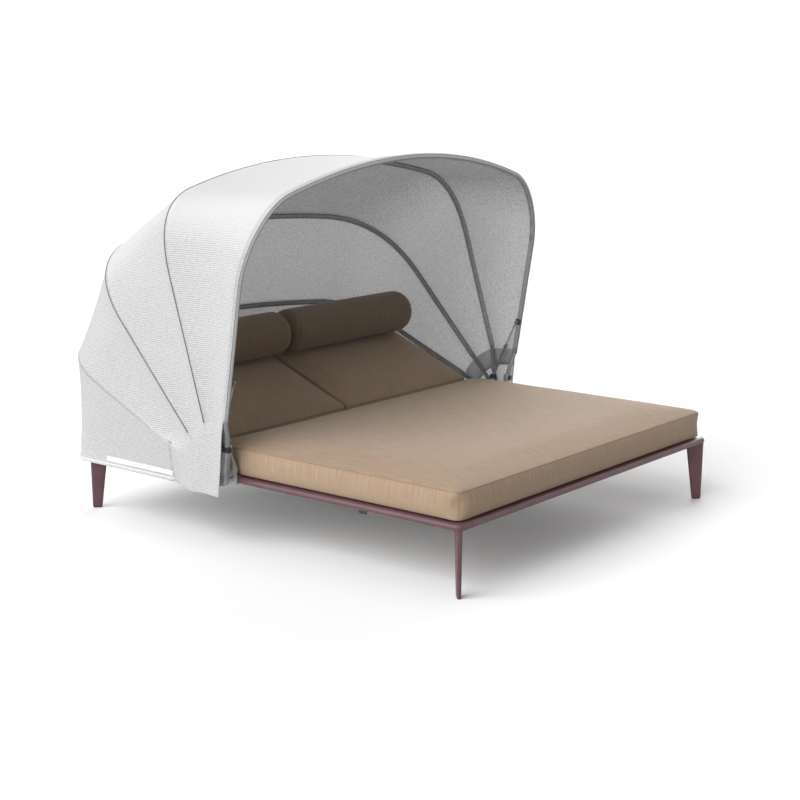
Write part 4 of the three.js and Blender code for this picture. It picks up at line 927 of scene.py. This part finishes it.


# Shade fabric: flat white coated yarn in an open weave; level rows of small holes, 8.5 mm apart,
# read as broken grey lines on the steep sides. Its tone changes with slope as painted shade and
# painted light: greyer on the outside's steep sides, and inside darker at the crown and lighter
# down the sides; inside it is grainy.
def shade_cloth(
    name, light, painted_slope_tone, dark, row_gap, row_share, grain, grain_share, crown_glow, side_glow,
):
    """Shade fabric: its colour on top, its painted slope tone that shades or lights steep sides,
    its colour in the holes, the rows of holes, the grain, and the share of light that comes
    through on top and on the sides."""
    made, tree, shader = surface(name, Roughness=0.85, Sheen_Weight=0.05)
    laid = node(tree, "ShaderNodeUVMap", {"uv_map": "cloth"}).outputs["UV"]
    rows = node(tree, "ShaderNodeTexWave", {
        "wave_type": "BANDS", "bands_direction": "Y", "wave_profile": "SIN",
        "Scale": thread_band(row_gap), "Distortion": 0.0,
    }, {"Vector": laid}).outputs["Fac"]
    broken = noise(tree, 1.0, 2.0, scaled(tree, laid, (1 / 0.014, 1 / 0.006, 1)), Roughness=0.6)
    added = reckon(tree, "MULTIPLY_ADD", broken, 1.6, rows)
    steep = node(tree, "ShaderNodeAttribute", {"attribute_name": "steep"}).outputs["Fac"]
    # Steep share: shifts the cloth to the painted slope tone on steep faces, and sets the glow share.
    side = ranged(tree, steep, 0.15, 0.7, 0.0, 1.0)
    holes = reckon(tree, "MULTIPLY", ranged(tree, added, 1.15, 1.85, 0.0, row_share), side)
    speck = noise(tree, grain, 2.0, object_place(tree))
    specks = ranged(tree, speck, 0.35, 0.65, 0.0, grain_share)
    either = reckon(tree, "MAXIMUM", holes, specks)
    colour = mix(tree, either, mix(tree, side, light, painted_slope_tone), dark)
    tree.links.new(colour, shader.inputs["Base Color"])
    roughen(tree, shader, reckon(tree, "SUBTRACT", 1.0, either), 0.3, 0.0008)
    glow = node(tree, "ShaderNodeBsdfTranslucent", {"Color": linear("#f0f0f0")})
    mixed = node(tree, "ShaderNodeMixShader", None, {
        0: ranged(tree, side, 0.0, 1.0, crown_glow, side_glow), 1: shader.outputs[0],
        2: glow.outputs[0],
    })
    tree.links.new(mixed.outputs[0], tree.nodes["Material Output"].inputs["Surface"])
    return made


# Outside: white on top, and painted greyer on steep sides as painted shade.
outside_painted_slope_shade = shade_cloth(
    "white shade fabric painted greyer on slopes", "#f6f6f6", "#e4e4e4", "#8c8c8c", 0.0085, 0.80, 0.0035, 0.30, 0.28, 0.26,
)
# Inside: the white fabric painted grey as shade, darker at the crown, lighter down the sides.
inside_painted_shade = shade_cloth(
    "shade fabric inside painted as shade", "#c6c7ca", "#e6e8eb", "#55575a", 0.0085, 0.0, 0.0075, 0.85, 0.28, 0.66,
)
# Doubled shade fabric: binding and sleeves. The sleeves' grey is painted shade, darker at the
# crown and lighter down the sides.
sleeve_painted_shade_cloth = shade_cloth(
    "sleeve fabric painted grey as shade", "#7d7f82", "#b0b2b5", "#505254", 0.006, 0.0, 0.005, 0.6, 0.0, 0.0,
)
# Front sleeve: the outside fabric painted grey as painted shade.
front_sleeve_painted_shade_cloth = shade_cloth(
    "front sleeve fabric painted grey as shade", "#a8aaad", "#b4b6b9", "#7c7e80", 0.006, 0.0, 0.005, 0.5, 0.0, 0.0,
)
binding_cloth = shade_cloth(
    "binding tape", "#c6c7c9", "#c6c7c9", "#a6a8aa", 0.004, 0.2, 0.004, 0.4, 0.0, 0.0,
)
# Hub patch: the shade fabric painted grey as shade inside the canopy.
patch_painted_shade_cloth = shade_cloth(
    "patch fabric painted grey as shade", "#c8cacd", "#c8cacd", "#8c8e90", 0.008, 0.2, 0.005, 0.6, 0.5, 0.5,
)
hem_cloth = shade_cloth(
    "doubled white hem fabric", "#f4f4f4", "#e8e8e8", "#a8a8a8", 0.009, 0.75, 0.004, 0.15, 0.1, 0.1,
)
# Painted light: the bright band where light shows through the skirt's mesh, as a plain white strip.
painted_light_strip_cloth = shade_cloth(
    "white strip painted bright as light through the mesh", "#fcfcfc", "#f8f8f8", "#d0d0d0", 0.004, 0.1, 0.004, 0.2, 0.0, 0.0,
)
stitch_thread = moulded("grey bonded thread", "#a6a6a6", "#b8b8b8", 0.7)
# Piping: a thin grey cord of twisted polyester, sewn into the seams over the hoops.
piping_cord = shade_cloth(
    "grey piping", "#7d7d7d", "#7d7d7d", "#5a5a5a", 0.004, 0.5, 0.003, 0.5, 0.0, 0.0,
)


def thicken(sheet, thickness):
    """Gives a sheet its thickness inwards, with the inside material on its inner face."""
    sheet.data.materials.append(outside_painted_slope_shade)
    sheet.data.materials.append(inside_painted_shade)
    add_modifier(
        sheet, "SOLIDIFY", thickness=thickness, offset=-1.0, material_offset=1,
        material_offset_rim=0, use_even_offset=True,
    )


def between_hoops(start, end, start_line, end_line, rows):
    """Rows of points from hoop to hoop that sag between them."""
    start_lean, end_lean = hoop_shapes[start][0] + 0.09, hoop_shapes[end][0] - 0.09
    grid = []
    for r in range(rows + 1):
        share = r / rows
        lean = start_lean + (end_lean - start_lean) * share
        row = []
        for p, q in zip(start_line, end_line):
            mid = p.lerp(q, share)
            growth = min(max((mid.y - fabric_start) / (full_sag_from - fabric_start), 0), 1)
            rise = min(max((mid.y - crown_sag_from) / crown_sag_over, 0), 1)
            rise *= start == "front"
            sag = (fabric_sag + crown_sag * rise) * 4 * share * (1 - share) * growth
            row.append(on_plane(mid * (1 - sag / mid.length), lean))
        grid.append(row)
    return grid


def fold_with_hoops(sheet):
    """Bakes a sheet's place into its mesh."""
    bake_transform(sheet)


def cloth_size(rows):
    """A sheet's flat size, along its surface: its longest row by its middle column."""
    length = max(sum((q - p).length for p, q in zip(row, row[1:])) for row in rows)
    middle = len(rows[0]) // 2
    width = sum((q[middle] - p[middle]).length for p, q in zip(rows, rows[1:]))
    return length, width


def area_of(sheet):
    """The area of a sheet that has no thickness yet."""
    return sum(face.area for face in sheet.data.polygons)


def mirrored(points):
    """The same points on the bed's other side."""
    return [Vector((-p.x, p.y, p.z)) for p in points]


def canopy_panel(name, node_name, start, end):
    """One panel of the canopy."""
    lines = (hoop_line(hoop, fabric_start, 181, fabric_reach) for hoop in (start, end))
    rows = between_hoops(start, end, *lines, 24)
    sheet = grid_piece(name, rows[::-1])
    thicken(sheet, fabric_thickness)
    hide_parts(node_name)
    fold_with_hoops(sheet)


def hub_patch(name, start, end, way):
    """A quarter-round patch sewn inside a panel at the hub, where the cloth pulls hardest."""
    columns = 9
    lines = []
    for hoop in (start, end):
        line = []
        for c in range(columns):
            radius = fabric_start + 0.002 + 0.088 * c / (columns - 1)
            x = leg_place(hoop, radius) + fabric_offset - 0.0005
            line.append(Vector((way * x, radius)))
        lines.append(line)
    rows = between_hoops(start, end, *lines, 12)
    if way > 0:
        rows.reverse()
    patch = grid_piece(name, rows)
    patch.data.materials.append(patch_painted_shade_cloth)
    add_modifier(patch, "SOLIDIFY", thickness=0.0008, offset=-1.0)
    fold_with_hoops(patch)


hoop_pairs = (("front", "second"), ("second", "third"), ("third", "rear"))
panel_names = ("front", "middle", "rear")
for panel_name, (first_hoop, second_hoop) in zip(panel_names, hoop_pairs):
    canopy_panel(
        f"{panel_name}_panel_cloth", f"canopy_{panel_name}_panel", first_hoop, second_hoop,
    )
    for side_name, side_way in (("left", -1), ("right", 1)):
        hub_patch(f"{panel_name}_patch_{side_name}", first_hoop, second_hoop, side_way)


# Sleeves and piping: each hoop runs through a sleeve of doubled fabric inside the canopy, and
# the outer seam over the second and third hoops is piped with a thin grey cord.
def along_hoop(name, hoop, start, section, material):
    """A tube with this section, (across the hoop's plane, outwards), drawn along a hoop."""
    centre = hoop_line(hoop, start, 145)
    outer = hoop_line(hoop, start, 145, 0.001)
    lean = math.radians(hoop_shapes[hoop][0])
    across_way = Vector((0, math.cos(lean), -math.sin(lean)))
    rows = []
    for p, q in zip(centre, outer):
        place = on_plane(p, hoop_shapes[hoop][0])
        out_way = (on_plane(q, hoop_shapes[hoop][0]) - place).normalized()
        rows.append([place + across_way * a + out_way * b for a, b in section])
    tube = grid_piece(name, rows, closed=True)
    alone(tube)
    bpy.ops.object.mode_set(mode="EDIT")
    bpy.ops.mesh.select_all(action="DESELECT")
    bpy.ops.mesh.select_mode(type="EDGE")
    bpy.ops.mesh.select_non_manifold()
    bpy.ops.mesh.fill()
    bpy.ops.mesh.select_all(action="SELECT")
    bpy.ops.mesh.normals_make_consistent(inside=False)
    bpy.ops.object.mode_set(mode="OBJECT")
    tube.data.materials.append(material)
    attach(tube, hoop_bodies[hoop])


def oval(half_across, half_out, middle=(0.0, 0.0), sides=20):
    """An oval section about a middle."""
    return [(
        middle[0] + half_across * math.cos(2 * math.pi * k / sides),
        middle[1] + half_out * math.sin(2 * math.pi * k / sides),
    ) for k in range(sides)]


def crescent(half_across, half_out, first, last, proud):
    """A thin section that wraps part of an oval, from one turn to another in degrees."""
    turns = [math.radians(first + (last - first) * k / 8) for k in range(9)]
    inner = [(half_across * math.cos(t), half_out * math.sin(t)) for t in turns]
    outer = [(
        (half_across + proud) * math.cos(t), (half_out + proud) * math.sin(t),
    ) for t in reversed(turns)]
    return inner + outer


front_wrap = (0.0125, 0.0120)
piping_section = oval(0.0024, 0.0022, (0.0, 0.0150), 8)
for hoop_name, trim_name, trim_start, trim_section, trim_cloth in (
    ("front", "sleeve", 0.283, oval(0.0124, 0.0119), front_sleeve_painted_shade_cloth),
    ("front", "edge_fold", 0.268, crescent(*front_wrap, 82, 128, 0.0016), outside_painted_slope_shade),
    ("front", "binding", 0.268, crescent(*front_wrap, 128, 196, 0.0009), binding_cloth),
    # Outer cord: a grey cord painted as the shadow line along the front panel's edge.
    ("front", "outer_shadow_cord", 0.268, oval(0.0012, 0.0012, (-0.0084, 0.0103), 8), piping_cord),
    ("front", "inner_seam", 0.268, oval(0.0013, 0.0013, (-0.0127, -0.0036), 8), piping_cord),
    ("second", "sleeve", 0.302, oval(0.0130, 0.0118), sleeve_painted_shade_cloth),
    ("third", "sleeve", 0.302, oval(0.0130, 0.0118), sleeve_painted_shade_cloth),
    ("rear", "sleeve", 0.302, oval(0.0130, 0.0118), sleeve_painted_shade_cloth),
    ("second", "piping", 0.258, piping_section, piping_cord),
    ("third", "piping", 0.258, piping_section, piping_cord),
):
    along_hoop(f"{hoop_name}_{trim_name}", hoop_name, trim_start, trim_section, trim_cloth)


# Back skirt: the same fabric, sewn to the rear hoop and hung down to a stiff doubled hem that
# wraps the head end of the frame; it is pulled in slightly between the hoop and the hem.
skirt_start = 0.300
hem_height = 0.239
hem_half_width = 1.010
hem_rear = 0.9719198
hem_corner = 0.075
skirt_sag_share = 0.010


def hem_point(step, top_y):
    """The hem under a hoop point on the right half: along the side, round the corner, across."""
    lean, foot, shoulder, leg = hoop_shapes["rear"][:4]
    leg_top = hub_place.y + leg * math.sin(math.radians(lean))
    bend_place = hem_rear - hem_corner
    straight = hem_half_width - hem_corner
    if step <= 2:
        return Vector((hem_half_width, top_y, hem_height))
    if step <= 5:
        y = leg_top + (bend_place - leg_top) * (step - 2) / 3
        return Vector((hem_half_width, y, hem_height))
    if step <= 8:
        turn = math.pi / 2 * (step - 5) / 3
        return Vector((
            straight + hem_corner * math.cos(turn), bend_place + hem_corner * math.sin(turn),
            hem_height,
        ))
    return Vector((straight * (12 - step) / 4, hem_rear, hem_height))


def skirt_line(step, depth, shares):
    """Points down the skirt under one point of the rear hoop's right half."""
    lean = hoop_shapes["rear"][0] + 0.09
    flat = hoop_point("rear", step, skirt_start)
    before = hoop_point("rear", max(step - 0.05, 0), skirt_start)
    after = hoop_point("rear", step + 0.05, skirt_start) if step < 11.95 else Vector((
        -before.x, before.y,
    ))
    way = (after - before).normalized()
    centre = on_plane(flat, lean)
    outward = (on_plane(flat + Vector((way.y, -way.x)), lean) - centre).normalized()
    hem = hem_point(step, centre.y)
    plan = (hem - Vector((0, hem_rear - hem_half_width, hem_height))).normalized()
    hem += plan * (depth - fabric_offset - fabric_thickness)
    fall = (hem - centre).normalized()
    length = (hem - centre).length
    away = (outward - fall * outward.dot(fall)).normalized()
    line = [centre + outward.lerp(away, k / 4).normalized() * depth for k in range(4)]
    for share in shares:
        sag = skirt_sag_share * length * 4 * share * (1 - share)
        line.append((centre + away * depth).lerp(hem, share) - away * sag)
    return line


skirt_steps = [step / 8 for step in range(97)]
skirt_lines = [
    skirt_line(step, fabric_reach, [k / 24 for k in range(25)]) for step in skirt_steps
]
skirt_lines += [mirrored(line) for line in reversed(skirt_lines[:-1])]
skirt_rows = [list(row) for row in zip(*skirt_lines)]
skirt = grid_piece("back_skirt_cloth", skirt_rows[::-1])
thicken(skirt, fabric_thickness)
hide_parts("back_skirt")
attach(skirt, "frame")

# Hem and side strips: the skirt's lower edge is turned up and stitched twice, and a bright white
# strip above it along each side is painted light, where light shows through the mesh.
def skirt_band(name, steps, low, high, whole, material):
    """A strip on the skirt's outer face between two heights above the hem."""
    depth = fabric_reach + 0.0004
    lines = []
    for step in steps:
        top, bottom = skirt_line(step, depth, [0.0, 1.0])[-2:]
        length = (bottom - top).length
        levels = [high + (low - high) * k / 3 for k in range(4)]
        lines.append(skirt_line(step, depth, [1 - level / length for level in levels])[4:])
    if whole:
        lines += [mirrored(line) for line in reversed(lines[:-1])]
    rows = [list(row) for row in zip(*lines)]
    band = grid_piece(name, rows[::-1])
    band.data.materials.append(material)
    area = area_of(band)
    add_modifier(band, "SOLIDIFY", thickness=0.0009, offset=1.0, use_even_offset=True)
    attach(band, "frame")
    return band, cloth_size(rows), area


def mirror_left(piece, name):
    """A copy of a right-hand piece for the left side."""
    other = piece.copy()
    other.data = piece.data.copy()
    other.name = name
    bpy.context.collection.objects.link(other)
    other.data.transform(Matrix.Diagonal((-1, 1, 1, 1)))
    other.data.flip_normals()
    return other


skirt_band("skirt_hem", skirt_steps, 0.0, 0.021, True, hem_cloth)
painted_light_strip, strip_cut, strip_area = skirt_band(
    "skirt_painted_light_strip_right", [0.05 + step / 8 for step in range(16)], 0.0235, 0.0460, False,
    painted_light_strip_cloth,
)
painted_light_strip_left = mirror_left(painted_light_strip, "skirt_painted_light_strip_left")
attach(painted_light_strip_left, "frame")
for stitch_name, stitch_height in (("lower", 0.004), ("upper", 0.0195)):
    stitch_line = []
    for step in skirt_steps:
        depth = fabric_reach + 0.0014
        top, bottom = skirt_line(step, depth, [0.0, 1.0])[-2:]
        share = 1 - stitch_height / (bottom - top).length
        stitch_line.append(skirt_line(step, depth, [share])[-1])
    stitch_line += mirrored(reversed(stitch_line[:-1]))
    stitch = cord(f"hem_stitch_{stitch_name}", stitch_line, 0.0009, 1, closed=False)
    stitch.data.materials.append(stitch_thread)
    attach(stitch, "frame")


# Hub flaps: a side piece of the same shade fabric over each hub, sewn to the canopy round the
# hub and to the skirt behind it, loose in front and below, so that its lower edge waves.
flap_front = -0.013
flap_level = 0.154
flap_rear = 0.238
flap_bottom = 0.225
flap_rise = 0.012
flap_plane = 1.0385
flap_radius = 0.222
flap_wave = 0.0045
flap_over_seam = 0.0020
flap_drawn_in = 0.0017
flap_rear_hollow = 0.0058
flap_rear_from = 0.62


def along_line(points, share):
    """The point at a share of a line's length."""
    lengths = [(b - a).length for a, b in zip(points, points[1:])]
    left = share * sum(lengths)
    for (a, b), length in zip(zip(points, points[1:]), lengths):
        if left <= length + 1e-9:
            return a.lerp(b, min(left / length, 1))
        left -= length
    return points[-1].copy()


def canopy_side(radius, lean):
    """How far out the canopy's outer face is at a radius and a lean."""
    names = ("front", "second", "third", "rear")
    leans = [hoop_shapes[name][0] for name in names]
    places = []
    for name in names:
        places.append(leg_place(name, radius) + fabric_offset + fabric_thickness)
    for a, b, x, y in zip(leans, leans[1:], places, places[1:]):
        if lean <= b:
            return x + (y - x) * (lean - a) / (b - a)
    return places[-1]


def hub_flap(side, way):
    """One flap: a ruled sheet from its lower edge up to the seam round the hub."""
    hub_y, hub_z = hub_place.y, hub_place.z
    front_lean, rear_lean = hoop_shapes["front"][0], hoop_shapes["rear"][0]
    rear_turn = math.radians(rear_lean)
    side_y = hub_y + skirt_start * math.sin(rear_turn) + 0.002
    side_top = hub_z + skirt_start * math.cos(rear_turn)
    low_edge = [
        Vector((hub_y + flap_front, flap_bottom)), Vector((hub_y + flap_level, flap_bottom)),
        Vector((hub_y + flap_rear, flap_bottom + flap_rise)), Vector((side_y, hem_height)),
    ]
    high_edge = []
    for k in range(25):
        turn = math.radians(front_lean + (rear_lean - front_lean) * k / 24)
        high_edge.append(Vector((
            hub_y + flap_radius * math.sin(turn), hub_z + flap_radius * math.cos(turn),
        )))
    high_edge.append(Vector((side_y, side_top)))
    rows = []
    for r in range(41):
        v = r / 40
        row = []
        for c in range(61):
            u = c / 60
            place = along_line(low_edge, u).lerp(along_line(high_edge, u), v)
            off_y, off_z = place.x - hub_y, place.y - hub_z
            radius = math.hypot(off_y, off_z)
            lean = math.degrees(math.atan2(off_y, max(off_z, 1e-6)))
            lean = min(max(lean, front_lean), rear_lean)
            seam_x = canopy_side(max(radius, 0.2), lean) + flap_over_seam
            seam_x -= flap_drawn_in * v ** 3
            ripple = 1 + math.sin(2 * math.pi * (2.2 * u + 0.35 * v + 0.1))
            wave = flap_wave * (1 - v) ** 1.6 * ripple
            hang_x = flap_plane + wave * (1 - u) ** 0.3
            x = hang_x + (seam_x - hang_x) * v * v * (3 - 2 * v)
            rear_x = hem_half_width + 0.0010 - flap_rear_hollow * v * (1 - v)
            rear_x += (canopy_side(0.3, rear_lean) - hem_half_width) * v ** 0.7
            back = min(max((u - flap_rear_from) / (1 - flap_rear_from), 0), 1)
            x += (rear_x - x) * back * back * (3 - 2 * back)
            row.append(Vector((way * x, place.x, place.y)))
        rows.append(row)
    if way < 0:
        rows.reverse()
    flap = grid_piece(f"hub_flap_{side}_cloth", rows)
    thicken(flap, fabric_thickness)
    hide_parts(f"hub_flap_{side}")
    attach(flap, "frame")


for side_name, side_way in (("left", -1), ("right", 1)):
    hub_flap(side_name, side_way)


# Hub castings, knuckles, stay clamps, caps and screws: die-cast or turned, with every edge broken
# before the finish; the knuckles carry the front hoop, and a black collar on top of each is
# painted shade for the shadowed gap under the front sleeve.
node_bodies = {
    "hub_bracket": "frame", "axle_cap": "frame", "bracket_screw": "frame", "prop_rack": "frame",
    "front_hoop_knuckle": "front_hoop", "stay_clamp_lower": "second_hoop",
    "stay_clamp_upper": "front_hoop",
}


def broken_edges(kind, side, width, material):
    """A CAD node's shape with its edges rounded, in its place."""
    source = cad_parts[f"{kind}_{side}"]
    piece = source.copy()
    piece.data = source.data.copy()
    piece.name = f"{kind}_{side}_cast"
    piece.parent = None
    piece.matrix_world = Matrix.Identity(4)
    bpy.context.collection.objects.link(piece)
    choose(piece, "FACE", lambda place, facing: True)
    bpy.ops.mesh.remove_doubles(threshold=0.00002)
    bpy.ops.mesh.dissolve_limited(angle_limit=math.radians(1))
    bpy.ops.object.mode_set(mode="OBJECT")
    add_modifier(
        piece, "BEVEL", width=width, segments=2, limit_method="ANGLE",
        angle_limit=math.radians(40), use_clamp_overlap=True,
    )
    leave(piece, 40)
    piece.data.materials.clear()
    piece.data.materials.append(material)
    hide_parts(source.name)
    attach(piece, node_bodies[kind])


for side_name in ("left", "right"):
    for node_kind, edge_width, edge_material, edge_slot in (
        ("hub_bracket", 0.0009, satin_aluminium, "bright_metal"),
        ("front_hoop_knuckle", 0.0016, satin_aluminium, "bright_metal"),
        ("axle_cap", 0.0008, dark_aluminium, "grey_coat"),
        ("bracket_screw", 0.0004, dark_aluminium, "grey_coat"),
        ("prop_rack", 0.0006, dark_aluminium, "grey_coat"),
        ("stay_clamp_lower", 0.0008, clamp_plastic, "clamp_plastic"),
        ("stay_clamp_upper", 0.0008, clamp_plastic, "clamp_plastic"),
    ):
        broken_edges(node_kind, side_name, edge_width, edge_material)


# Knuckle collars: a black moulded collar where the front hoop's bar enters each knuckle, as
# painted shade for the shadowed gap between the sleeve and the knuckle.
knuckle_top = 0.150
collar_across = (1.0140, 0.9880)
collar_half_width = 0.0170
collar_below = 0.017
collar_above = 0.003
collar_step = 0.0035
collar_rise = 0.004
for side_name, side_way in (("left", -1), ("right", 1)):
    collar = block(
        f"front_hoop_knuckle_collar_{side_name}",
        (side_way * collar_across[0], -collar_half_width, knuckle_top - collar_below),
        (side_way * collar_across[1], collar_half_width, knuckle_top + collar_above),
    )
    choose(collar, "FACE", lambda place, facing: facing.z > 0.9)
    bpy.ops.mesh.inset(thickness=collar_step)
    bpy.ops.mesh.extrude_region_move(TRANSFORM_OT_translate={"value": (0, 0, collar_rise)})
    choose(collar, "EDGE", lambda place, way: True)
    bpy.ops.mesh.bevel(offset=0.0014, segments=2, profile=0.5)
    leave(collar)
    collar.data.transform(
        Matrix.Translation((0, hub_place.y, hub_place.z))
        @ Matrix.Rotation(math.radians(-hoop_shapes["front"][0]), 4, "X")
    )
    collar.data.materials.append(glide_plastic)
    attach(collar, "front_hoop")


# End plugs: black polyamide plugs pushed into the open ends of the cross bearers.
plug_wall = 0.0025
plug_stands = 0.0018
plug_inset = 0.0006
plug_depth = 0.014
for bearer in ("foot_cross_bearer", "hinge_cross_bearer", "rack_cross_bearer", "head_cross_bearer"):
    bearer_low, bearer_high = (Vector(corner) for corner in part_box(bearer))
    for side_name, side_way in (("left", -1), ("right", 1)):
        end_x = bearer_low.x if side_way < 0 else bearer_high.x
        plug = block(
            f"{bearer}_plug_{side_name}",
            (end_x + side_way * plug_stands, bearer_low.y + plug_inset, bearer_low.z + plug_inset),
            (end_x, bearer_high.y - plug_inset, bearer_high.z - plug_inset),
        )
        choose(plug, "FACE", lambda place, facing: facing.x * side_way < -0.9)
        bpy.ops.mesh.inset(thickness=plug_wall)
        inward = (-side_way * plug_depth, 0, 0)
        bpy.ops.mesh.extrude_region_move(TRANSFORM_OT_translate={"value": inward})
        bpy.ops.transform.resize(value=(1, 0.94, 0.9))
        choose(plug, "EDGE", lambda place, way: (
            abs(place.x - end_x - side_way * plug_stands) < 0.0001 and abs(way.x) < 0.1
        ))
        bpy.ops.mesh.bevel(offset=0.0009, segments=2, profile=0.5)
        leave(plug)
        plug.data.materials.append(glide_plastic)
        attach(plug, "frame")
